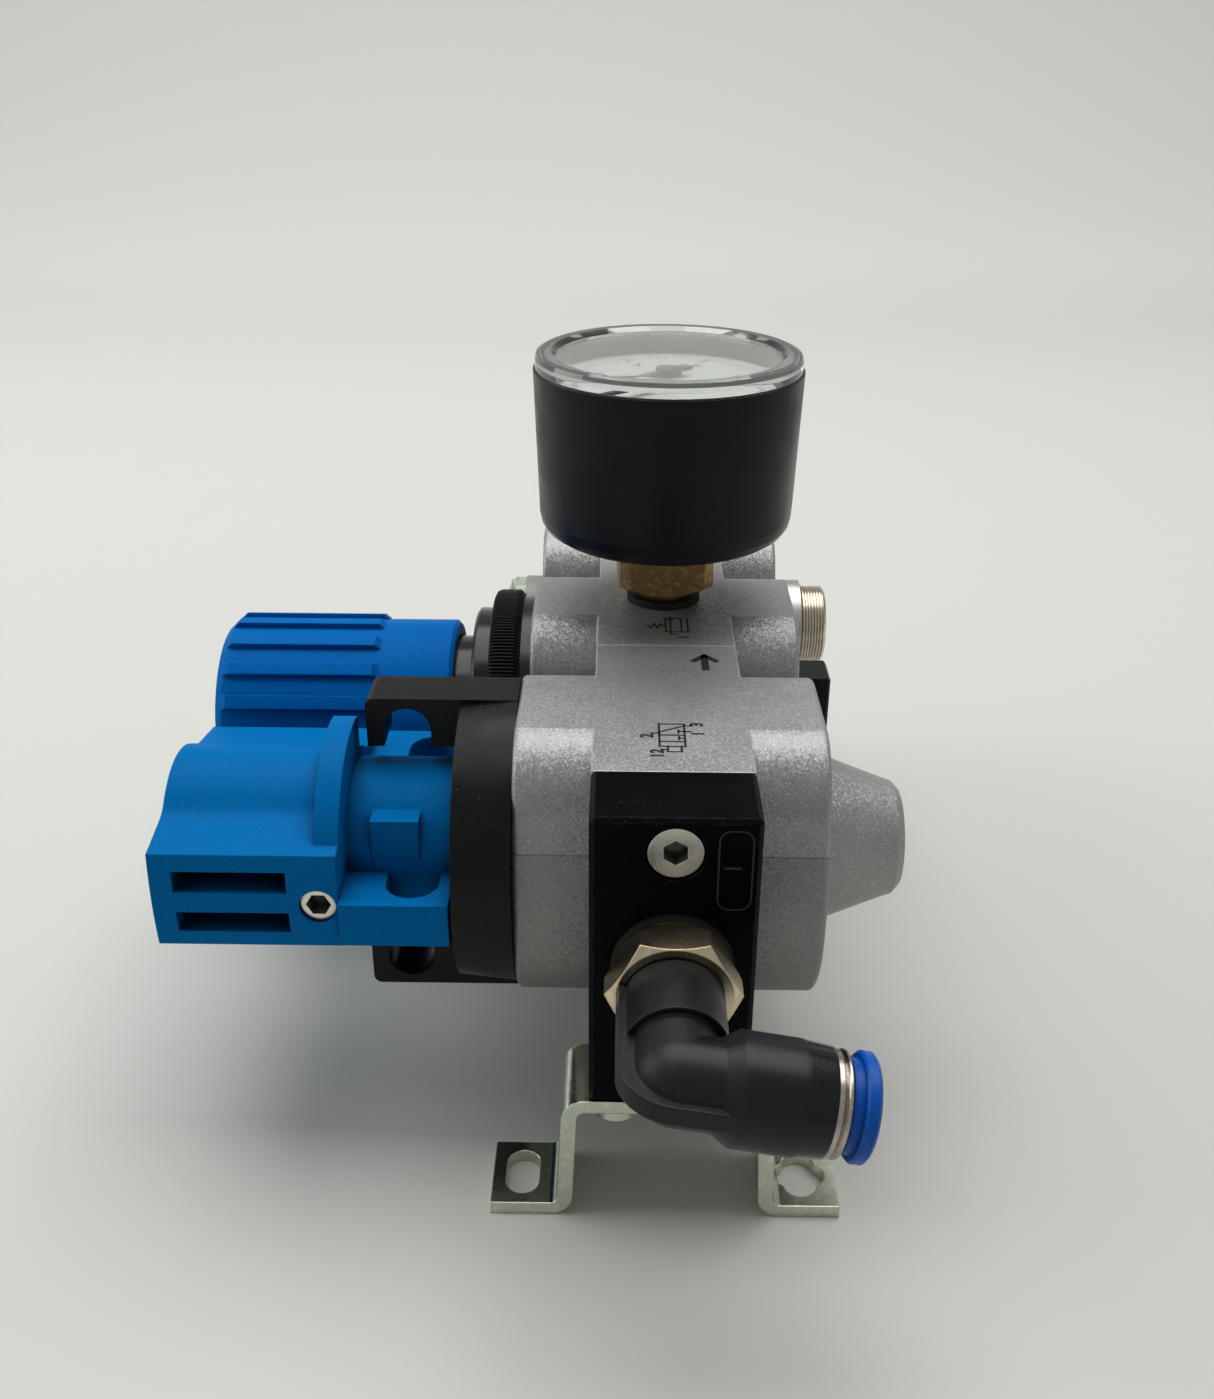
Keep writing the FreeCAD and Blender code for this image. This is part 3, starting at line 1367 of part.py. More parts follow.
def release_ring():
    """Blue ring pressed to free the tube."""
    start = outlet_body_end + trim_ring_width + release_gap
    end = start + release_width
    neck = grip_bore_radius - running_fit
    ring = turned_x([(release_nose_x, tube_radius), (release_nose_x, neck), (start, neck),
                     (start, release_radius - 0.3), (start + 0.3, release_radius),
                     (end - 0.4, release_radius), (end, release_radius - 0.4), (end, tube_radius)])
    return along_outlet(ring)


def grip_collet():
    """Spring steel ring whose teeth hold the tube."""
    end = release_nose_x - release_gap
    start = end - collet_width
    outer = grip_bore_radius - running_fit
    ring = turned_x([(start, outer - collet_wall), (start, outer), (end, outer),
                     (end, tube_radius + tube_seal_clearance),
                     (end - collet_lip, tube_radius + tube_seal_clearance)])
    return along_outlet(ring)


def tube_seal():
    start = grip_bore_start
    ring = ring_x(grip_bore_radius - running_fit, tube_radius + tube_seal_clearance, start,
                  start + tube_seal_width)
    return along_outlet(ring)


NODES = {
    "front_plate": end_plate(),
    "rear_plate": flip_y(end_plate()),
    "front_bracket": bracket(),
    "rear_bracket": bracket().mirror(V(0, 0, 0), V(0, 1, 0)),
    "bracket_screws": bracket_screws(),
    "plate_screws": plate_screws(),
    "stack_screws": stack_screws(),
    "module_seals": module_seals(),
    "valve_body": valve_body(),
    "lever_base_ring": lever_base_ring(),
    "on_off_lever": on_off_lever(),
    "lever_set_screw": lever_set_screw(),
    "drive_spindle": drive_spindle(),
    "spindle_seal": spindle_seal(),
    "valve_spool": valve_spool(),
    "spool_seals": spool_seals(),
    "spool_spring": spool_spring(),
    "regulator_body": regulator_body(),
    "bonnet": bonnet(),
    "union_nut": union_nut(),
    "adjusting_knob": adjusting_knob(),
    "adjusting_spindle": adjusting_spindle(),
    "spring_plate": spring_plate(),
    "main_spring": main_spring(),
    "diaphragm": diaphragm(),
    "diaphragm_clamp": diaphragm_clamp(),
    "valve_poppet": valve_poppet(),
    "poppet_spring": poppet_spring(),
    "valve_plug": valve_plug(),
    "gauge_socket": gauge_socket(),
    "gauge_seal": gauge_seal(),
    "gauge_case": gauge_case(),
    "gauge_lens": gauge_lens(),
    "gauge_dial": gauge_dial(),
    "gauge_pointer": gauge_pointer(),
    "bourdon_tube": bourdon_tube(),
    "lubricator_body": lubricator_body(),
    "dome_seat": dome_seat(),
    "sight_dome": sight_dome(),
    "drip_insert": drip_insert(),
    "metering_screw": metering_screw(),
    "venturi_insert": venturi_insert(),
    "fill_neck": fill_neck(),
    "fill_plug": fill_plug(),
    "fitting_seal": fitting_seal(),
    "fitting_stud": fitting_stud(),
    "fitting_elbow": fitting_elbow(),
    "fitting_trim_ring": fitting_trim_ring(),
    "release_ring": release_ring(),
    "grip_collet": grip_collet(),
    "tube_seal": tube_seal(),
}
for node, shape in NODES.items():
    save(node, shape)
print(len(NODES), "nodes")
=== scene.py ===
# %% [markdown]
# # Compressed-air service unit: looks
# Three cast heads stand side by side on two bent brackets: an on/off valve with a blue lever, a pressure
# regulator with a knob and a gauge, and a lubricator head with a drip dome. The solids come from the packed
# CAD model and stay where they are. This file gives every solid its finish, adds the small printed and
# turned details, and sets up the floor, the lights and the camera.

# %% Load the frame
import bpy
import math
from mathutils import Matrix, Vector


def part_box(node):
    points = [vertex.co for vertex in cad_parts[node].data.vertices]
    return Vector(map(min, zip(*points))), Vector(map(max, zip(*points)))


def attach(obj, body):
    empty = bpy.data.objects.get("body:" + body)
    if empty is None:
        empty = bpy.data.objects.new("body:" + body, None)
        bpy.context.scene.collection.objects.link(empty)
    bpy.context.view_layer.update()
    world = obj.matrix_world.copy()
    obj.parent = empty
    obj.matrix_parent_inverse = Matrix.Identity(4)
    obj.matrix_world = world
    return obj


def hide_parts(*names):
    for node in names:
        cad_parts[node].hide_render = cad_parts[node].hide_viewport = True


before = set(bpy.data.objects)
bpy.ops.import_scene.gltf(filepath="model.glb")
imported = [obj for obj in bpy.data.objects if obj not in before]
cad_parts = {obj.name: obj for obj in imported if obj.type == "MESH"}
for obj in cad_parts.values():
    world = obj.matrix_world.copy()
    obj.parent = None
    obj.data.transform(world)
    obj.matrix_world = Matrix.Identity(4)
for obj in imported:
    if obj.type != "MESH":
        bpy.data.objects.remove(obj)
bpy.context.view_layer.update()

MM = 0.001

# %% [markdown]
# ## Small helpers
# A colour chart gives colours as 0 to 255, while shader sockets take linear values, so one helper converts.
# Another one makes an empty material and hands back its tree and its main shader. The rest each add one node
# to a tree and hand back its output socket, so that a finish reads like a list of steps.

# %% Helpers for colours and materials
def chart(red, green, blue):
    """A colour-chart value, 0 to 255, as the linear colour that a socket takes."""
    linear = []
    for value in (red, green, blue):
        value = value / 255
        linear.append(value / 12.92 if value <= 0.04045 else ((value + 0.055) / 1.055) ** 2.4)
    return (*linear, 1.0)


def new_material(name):
    material = bpy.data.materials.new(name)
    material.use_nodes = True
    tree = material.node_tree
    return material, tree, tree.nodes["Principled BSDF"]


def new_group(name, inputs, outputs):
    """An empty shader node group with float inputs (name, default) and typed outputs (name, type)."""
    tree = bpy.data.node_groups.new(name, "ShaderNodeTree")
    for label, default in inputs:
        socket = tree.interface.new_socket(label, in_out="INPUT", socket_type="NodeSocketFloat")
        socket.default_value = default
    for label, kind in outputs:
        tree.interface.new_socket(label, in_out="OUTPUT", socket_type=kind)
    return tree, tree.nodes.new("NodeGroupInput"), tree.nodes.new("NodeGroupOutput")


print("red, half bright, as a linear colour:", chart(128, 0, 0))

# %% Helpers for nodes
def feed(tree, socket, source):
    """Give an input socket a plain value, or a link from an output socket."""
    if isinstance(source, bpy.types.NodeSocket):
        tree.links.new(source, socket)
    else:
        socket.default_value = source


def math_node(tree, operation, first, second=None):
    """A Math node whose operands are sockets or plain numbers."""
    node = tree.nodes.new("ShaderNodeMath")
    node.operation = operation
    feed(tree, node.inputs[0], first)
    if second is not None:
        feed(tree, node.inputs[1], second)
    return node.outputs["Value"]


def vector_node(tree, operation, first, second=None):
    """A Vector Math node. The second operand of SCALE is a number, all others are vectors."""
    node = tree.nodes.new("ShaderNodeVectorMath")
    node.operation = operation
    feed(tree, node.inputs[0], first)
    if second is not None:
        feed(tree, node.inputs["Scale" if operation == "SCALE" else 1], second)
    return node.outputs["Value" if operation == "DOT_PRODUCT" else "Vector"]


def ramp(tree, value, from_low, from_high, to_low=0.0, to_high=1.0):
    """Map a value from one range to another, smooth at both ends."""
    node = tree.nodes.new("ShaderNodeMapRange")
    node.interpolation_type = "SMOOTHSTEP"
    limits = {"From Min": from_low, "From Max": from_high, "To Min": to_low, "To Max": to_high}
    for label, limit in limits.items():
        feed(tree, node.inputs[label], limit)
    tree.links.new(value, node.inputs["Value"])
    return node.outputs["Result"]


def noise(tree, coordinates, scale, detail=2.0, roughness=0.5):
    node = tree.nodes.new("ShaderNodeTexNoise")
    node.inputs["Detail"].default_value = detail
    node.inputs["Roughness"].default_value = roughness
    feed(tree, node.inputs["Scale"], scale)
    tree.links.new(coordinates, node.inputs["Vector"])
    return node.outputs["Fac"]


def mix_colour(tree, amount, first, second):
    """Mix two colours, each a socket or a chart colour, by a value socket."""
    factor, colour_a, colour_b, colour_result = 0, 6, 7, 2   # the sockets of a Mix node in its colour mode
    node = tree.nodes.new("ShaderNodeMix")
    node.data_type = "RGBA"
    tree.links.new(amount, node.inputs[factor])
    feed(tree, node.inputs[colour_a], first)
    feed(tree, node.inputs[colour_b], second)
    return node.outputs[colour_result]


def object_place(tree):
    """Where a point is on the unit, in metres."""
    return tree.nodes.new("ShaderNodeTexCoord").outputs["Object"]


def separate(tree, vector):
    """The X, Y and Z of a vector."""
    node = tree.nodes.new("ShaderNodeSeparateXYZ")
    tree.links.new(vector, node.inputs["Vector"])
    return node.outputs


def seen_directly(tree):
    """1 for what the camera sees straight, mirrored or through a clear part, and 0 for the light on the unit."""
    path = tree.nodes.new("ShaderNodeLightPath")
    seen = math_node(tree, "MAXIMUM", path.outputs["Is Camera Ray"], path.outputs["Is Glossy Ray"])
    return math_node(tree, "MAXIMUM", seen, path.outputs["Is Transmission Ray"])


print("one millimetre is", MM, "scene units")

# %% [markdown]
# ## Shared surface effects
# Cast, moulded and plated parts show the same few effects at different strengths. Each effect is a node group
# that every finish places with its own values. The first two are random cells: specks change the tone of a
# paint here and there, and the metal flakes in it lean their own way, so that they glint one by one.

# %% Specks and flakes
def small_cells(tree, size):
    """Random cells with one colour each. Their size is in millimetres."""
    cells = tree.nodes.new("ShaderNodeTexVoronoi")
    tree.links.new(object_place(tree), cells.inputs["Vector"])
    tree.links.new(math_node(tree, "DIVIDE", 1 / MM, size), cells.inputs["Scale"])
    return cells.outputs["Color"]


def specks_group():
    """Cells of another tone. Size is in millimetres, and Share is the part of the cells that differ."""
    tree, entry, exit_ = new_group("specks", [("Size", 0.3), ("Share", 0.3)], [("Mask", "NodeSocketFloat")])
    channels = tree.nodes.new("ShaderNodeSeparateColor")
    tree.links.new(small_cells(tree, entry.outputs["Size"]), channels.inputs["Color"])
    edge = math_node(tree, "SUBTRACT", 1.0, entry.outputs["Share"])
    tree.links.new(ramp(tree, channels.outputs["Red"], edge, 1.0), exit_.inputs["Mask"])
    return tree


def flakes_group():
    """How far the normal leans in each cell. Size is in millimetres."""
    tree, entry, exit_ = new_group("flakes", [("Size", 0.25), ("Tilt", 0.3)], [("Normal", "NodeSocketVector")])
    centred = vector_node(tree, "SUBTRACT", small_cells(tree, entry.outputs["Size"]), (0.5, 0.5, 0.5))
    tree.links.new(vector_node(tree, "SCALE", centred, entry.outputs["Tilt"]), exit_.inputs["Normal"])
    return tree


EFFECTS = {"specks": specks_group(), "flakes": flakes_group()}
print("cells:", sorted(EFFECTS))

# %% [markdown]
# A moulded or cast skin is never quite even, so a grain gives it a fine relief and a slow drift of tone. No edge
# is quite sharp either. The Bevel node rounds the shading there, and where it bends the normal most, the edge
# is painted brighter, with gaps: wear on most finishes, and a painted highlight on the grey casting.

# %% Grain and edges
def grain_group():
    """Fine uneven height of a moulded or cast skin, with slow unevenness below it."""
    tree, entry, exit_ = new_group("grain", [("Size", 0.4)],
                                   [("Height", "NodeSocketFloat"), ("Drift", "NodeSocketFloat")])
    place = object_place(tree)
    scale = math_node(tree, "DIVIDE", 1 / MM, entry.outputs["Size"])
    tree.links.new(noise(tree, place, scale, detail=3.0), exit_.inputs["Height"])
    slow = math_node(tree, "MULTIPLY", scale, 0.04)
    tree.links.new(noise(tree, place, slow, detail=2.0), exit_.inputs["Drift"])
    return tree


def edges_group():
    """A soft round on sharp edges, and a mask along them that Breaks fills with gaps. Radius in millimetres."""
    tree, entry, exit_ = new_group("edges", [("Radius", 0.3), ("Wear", 0.5), ("Breaks", 1.0)],
                                   [("Normal", "NodeSocketVector"), ("Mask", "NodeSocketFloat")])
    bevel = tree.nodes.new("ShaderNodeBevel")
    bevel.samples = 6
    tree.links.new(math_node(tree, "MULTIPLY", entry.outputs["Radius"], MM), bevel.inputs["Radius"])
    geometry = tree.nodes.new("ShaderNodeNewGeometry")
    turn = vector_node(tree, "DOT_PRODUCT", bevel.outputs["Normal"], geometry.outputs["Normal"])
    bent = ramp(tree, turn, 0.996, 0.9)
    broken = ramp(tree, noise(tree, object_place(tree), 700.0, detail=4.0), 0.42, 0.62)
    gaps = math_node(tree, "MULTIPLY", math_node(tree, "SUBTRACT", 1.0, broken), entry.outputs["Breaks"])
    # The mask brightens edges: wear on most finishes, and a painted highlight on the grey casting and the
    # hexagon.
    worn_and_highlit = math_node(tree, "MULTIPLY", bent, math_node(tree, "SUBTRACT", 1.0, gaps))
    tree.links.new(math_node(tree, "MULTIPLY", worn_and_highlit, entry.outputs["Wear"]), exit_.inputs["Mask"])
    tree.links.new(bevel.outputs["Normal"], exit_.inputs["Normal"])
    return tree


EFFECTS.update(grain=grain_group(), edges=edges_group())
print("effects so far:", sorted(EFFECTS))

# %% [markdown]
# Use leaves its marks: short scratches that run one way and dust on what faces up. Sockets and inner corners get
# painted shade, which the Ambient Occlusion node finds by how shut in a point is.

# %% Scratches, dust and painted shade in recesses
def scratches_group():
    """A few short fine scratches with gaps. Turn is the way that they run, in radians about Z."""
    tree, entry, exit_ = new_group("scratches", [("Amount", 0.3), ("Turn", 0.4)], [("Mask", "NodeSocketFloat")])
    place = object_place(tree)
    turned = tree.nodes.new("ShaderNodeVectorRotate")
    turned.rotation_type = "Z_AXIS"
    tree.links.new(place, turned.inputs["Vector"])
    tree.links.new(entry.outputs["Turn"], turned.inputs["Angle"])
    stretched = vector_node(tree, "MULTIPLY", turned.outputs["Vector"], (160.0, 4500.0, 900.0))
    lines = ramp(tree, noise(tree, stretched, 1.0, detail=1.0), 0.7, 0.78)
    patches = ramp(tree, noise(tree, place, 120.0, detail=2.0), 0.5, 0.62)
    broken = math_node(tree, "MULTIPLY", lines, patches)
    tree.links.new(math_node(tree, "MULTIPLY", broken, entry.outputs["Amount"]), exit_.inputs["Mask"])
    return tree


def dust_group():
    """Sparse light dust that settles on what faces up."""
    tree, entry, exit_ = new_group("dust", [("Amount", 0.1)], [("Mask", "NodeSocketFloat")])
    place = object_place(tree)
    motes = ramp(tree, noise(tree, place, 2600.0, detail=1.0), 0.66, 0.78)
    patches = ramp(tree, noise(tree, place, 90.0, detail=3.0), 0.35, 0.7)
    geometry = tree.nodes.new("ShaderNodeNewGeometry")
    upward = ramp(tree, separate(tree, geometry.outputs["Normal"])["Z"], 0.1, 0.9)
    lying = math_node(tree, "MULTIPLY", math_node(tree, "MULTIPLY", motes, patches), upward)
    tree.links.new(math_node(tree, "MULTIPLY", lying, entry.outputs["Amount"]), exit_.inputs["Mask"])
    return tree


def recess_group():
    """Painted shade in sockets and inner corners. Reach is how far apart the walls are, in millimetres."""
    tree, entry, exit_ = new_group("recess", [("Reach", 2.0), ("Amount", 0.5)], [("Mask", "NodeSocketFloat")])
    openness = tree.nodes.new("ShaderNodeAmbientOcclusion")
    openness.samples = 8
    tree.links.new(math_node(tree, "MULTIPLY", entry.outputs["Reach"], MM), openness.inputs["Distance"])
    shut_in = ramp(tree, openness.outputs["AO"], 0.85, 0.3)
    tree.links.new(math_node(tree, "MULTIPLY", shut_in, entry.outputs["Amount"]), exit_.inputs["Mask"])
    return tree


EFFECTS.update(scratches=scratches_group(), dust=dust_group(), recess=recess_group())
print("effects so far:", sorted(EFFECTS))

# %% [markdown]
# Two effects depend on the place. A casting has a fine line where the halves of its die met, and is painted a
# little darker below it: painted shade in place of a draft that turns the lower half from the light. The barrel
# of the elbow is smooth and glossy toward its end, and slopes down.

# %% Parting line and polished band
def parting_group():
    """The line at Height, and what lies below it, up to Reach on both sides of the middle, in millimetres."""
    tree, entry, exit_ = new_group("parting", [("Height", 50.0), ("Reach", 20.0)],
                                   [("Line", "NodeSocketFloat"), ("Below", "NodeSocketFloat")])
    place = separate(tree, object_place(tree))
    above = math_node(tree, "SUBTRACT", math_node(tree, "DIVIDE", place["Z"], MM), entry.outputs["Height"])
    aside = math_node(tree, "ABSOLUTE", math_node(tree, "DIVIDE", place["X"], MM))
    near = math_node(tree, "LESS_THAN", aside, entry.outputs["Reach"])
    line = ramp(tree, math_node(tree, "ABSOLUTE", above), 0.05, 0.18, 1.0, 0.0)
    below = ramp(tree, above, -0.1, 0.1, 1.0, 0.0)
    tree.links.new(math_node(tree, "MULTIPLY", line, near), exit_.inputs["Line"])
    tree.links.new(math_node(tree, "MULTIPLY", below, near), exit_.inputs["Below"])
    return tree


def band_group():
    """1 beyond Start along a line that leaves X = 0 at Height and droops by Droop. Lengths in millimetres."""
    tree, entry, exit_ = new_group("band", [("Start", 20.0), ("Droop", 0.17), ("Height", 0.0)],
                                   [("Mask", "NodeSocketFloat")])
    place = separate(tree, object_place(tree))
    rise = math_node(tree, "SUBTRACT", place["Z"], math_node(tree, "MULTIPLY", entry.outputs["Height"], MM))
    along = math_node(tree, "MULTIPLY", place["X"], math_node(tree, "COSINE", entry.outputs["Droop"]))
    down = math_node(tree, "MULTIPLY", rise, math_node(tree, "SINE", entry.outputs["Droop"]))
    reach = math_node(tree, "DIVIDE", math_node(tree, "SUBTRACT", along, down), MM)
    past = math_node(tree, "SUBTRACT", reach, entry.outputs["Start"])
    tree.links.new(ramp(tree, past, 0.0, 0.12), exit_.inputs["Mask"])
    return tree


EFFECTS.update(parting=parting_group(), band=band_group())
print("shared effects:", sorted(EFFECTS))

# %% [markdown]
# ## One recipe for opaque finishes
# Paint, moulded plastic, rubber and metal differ in colour, metalness, gloss and grain, but are layered in
# the same order: two close base tones by specks and drift, brighter edges (worn, and on the casting and the
# hexagon a painted highlight) and scratches, dust, the parting line of a casting with painted shade below it,
# and at last painted shade in recesses. The relief goes through a Bump node on top of the rounded edges, and
# metallic paint also lets every flake lean its own way.

# %% The recipe
# The second colour here is painted shade for sockets and inner corners.
DUST, RECESS_SHADE = chart(200, 198, 192), chart(10, 9, 8)
# The first of these colours is painted shade below the parting line, and the second is the line itself.
SHADE_BELOW_PARTING, PARTING_LINE = chart(92, 91, 88), chart(84, 83, 80)
SHADE_BELOW_SHARE, LINE_SHARE = 0.3, 0.5    # how far the casting goes toward these two tones
POLISH = 0.6                          # the share of the roughness that the polished band loses


def effect(tree, name, **values):
    node = tree.nodes.new("ShaderNodeGroup")
    node.node_tree = EFFECTS[name]
    for label, value in values.items():
        node.inputs[label].default_value = value
    return node


def finish(name, tone, second_tone, metallic=0.0, roughness=0.4, spread=0.08, gloss=0.5, speck_size=0.25,
           speck_share=0.3, grain_size=0.4, relief=0.004, edge_tone=None, edge_radius=0.25, wear=0.3,
           breaks=1.0, scratch=0.0, scratch_turn=0.4, flake=0.0, flake_size=0.25, dust=0.12, recess=0.3,
           reach=2.0, parting=None, band=None):
    """An opaque finish. Sizes are in millimetres, and relief is the height of the grain."""
    material, tree, shader = new_material(name)
    specks = effect(tree, "specks", Size=speck_size, Share=speck_share)
    grain = effect(tree, "grain", Size=grain_size)
    edges = effect(tree, "edges", Radius=edge_radius, Wear=wear, Breaks=breaks)
    lines = effect(tree, "scratches", Amount=scratch, Turn=scratch_turn)
    motes = effect(tree, "dust", Amount=dust)
    recess_shading = effect(tree, "recess", Reach=reach, Amount=recess)
    blend = math_node(tree, "MULTIPLY", specks.outputs["Mask"], grain.outputs["Height"])
    drift = math_node(tree, "MULTIPLY", grain.outputs["Drift"], 0.5)
    colour = mix_colour(tree, math_node(tree, "ADD", blend, drift), tone, second_tone)
    # Edges and scratches go toward the edge tone: wear and scratches, and on the casting and the hexagon a
    # painted highlight.
    worn_and_highlit = math_node(tree, "MAXIMUM", edges.outputs["Mask"], lines.outputs["Mask"])
    colour = mix_colour(tree, worn_and_highlit, colour, edge_tone or second_tone)
    colour = mix_colour(tree, motes.outputs["Mask"], colour, DUST)
    if parting:
        halves = effect(tree, "parting", **parting)
        # Painted shade: the casting goes darker below its parting line.
        below = math_node(tree, "MULTIPLY", halves.outputs["Below"], SHADE_BELOW_SHARE)
        line = math_node(tree, "MULTIPLY", halves.outputs["Line"], LINE_SHARE)
        colour = mix_colour(tree, below, colour, SHADE_BELOW_PARTING)
        colour = mix_colour(tree, line, colour, PARTING_LINE)
    # Painted shade: sockets and inner corners go dark by how shut in they are.
    colour = mix_colour(tree, recess_shading.outputs["Mask"], colour, RECESS_SHADE)
    tree.links.new(colour, shader.inputs["Base Color"])
    rough = ramp(tree, grain.outputs["Drift"], 0.3, 0.7, roughness - spread, roughness + spread)
    if band:
        polished = math_node(tree, "MULTIPLY", effect(tree, "band", **band).outputs["Mask"], POLISH)
        rough = math_node(tree, "MULTIPLY", rough, math_node(tree, "SUBTRACT", 1.0, polished))
    tree.links.new(math_node(tree, "ADD", rough, motes.outputs["Mask"]), shader.inputs["Roughness"])
    normal = edges.outputs["Normal"]
    if flake:
        flakes = effect(tree, "flakes", Size=flake_size, Tilt=flake)
        normal = vector_node(tree, "NORMALIZE", vector_node(tree, "ADD", normal, flakes.outputs["Normal"]))
    bump = tree.nodes.new("ShaderNodeBump")
    bump.inputs["Strength"].default_value = 1.0
    bump.inputs["Distance"].default_value = relief * MM
    tree.links.new(grain.outputs["Height"], bump.inputs["Height"])
    tree.links.new(normal, bump.inputs["Normal"])
    tree.links.new(bump.outputs["Normal"], shader.inputs["Normal"])
    shader.inputs["Metallic"].default_value = metallic
    shader.inputs["Specular IOR Level"].default_value = gloss
    return material


# The second colour printed is the painted shade in recesses.
print("the dust is", DUST[:3], "and the dirt", RECESS_SHADE[:3])

# %% [markdown]
# ## Finishes of this unit
# The heads are die cast and painted a sparkling grey, the end plates are black, and the moving parts that a
# hand touches are blue plastic. Screws and brackets are zinc plated. The blacks and blues are matt mouldings,
# so their mirror part is kept low and their colours stay deep under the soft light.

# %% Cast, plated and moulded finishes
AXIS_HEIGHT = 43.1        # mm, where the sloping barrel of the elbow leaves the axis of the port
BARREL_DROOP = math.radians(10.0)
BARREL_POLISH = 13.8      # mm, where the smooth end of the barrel starts

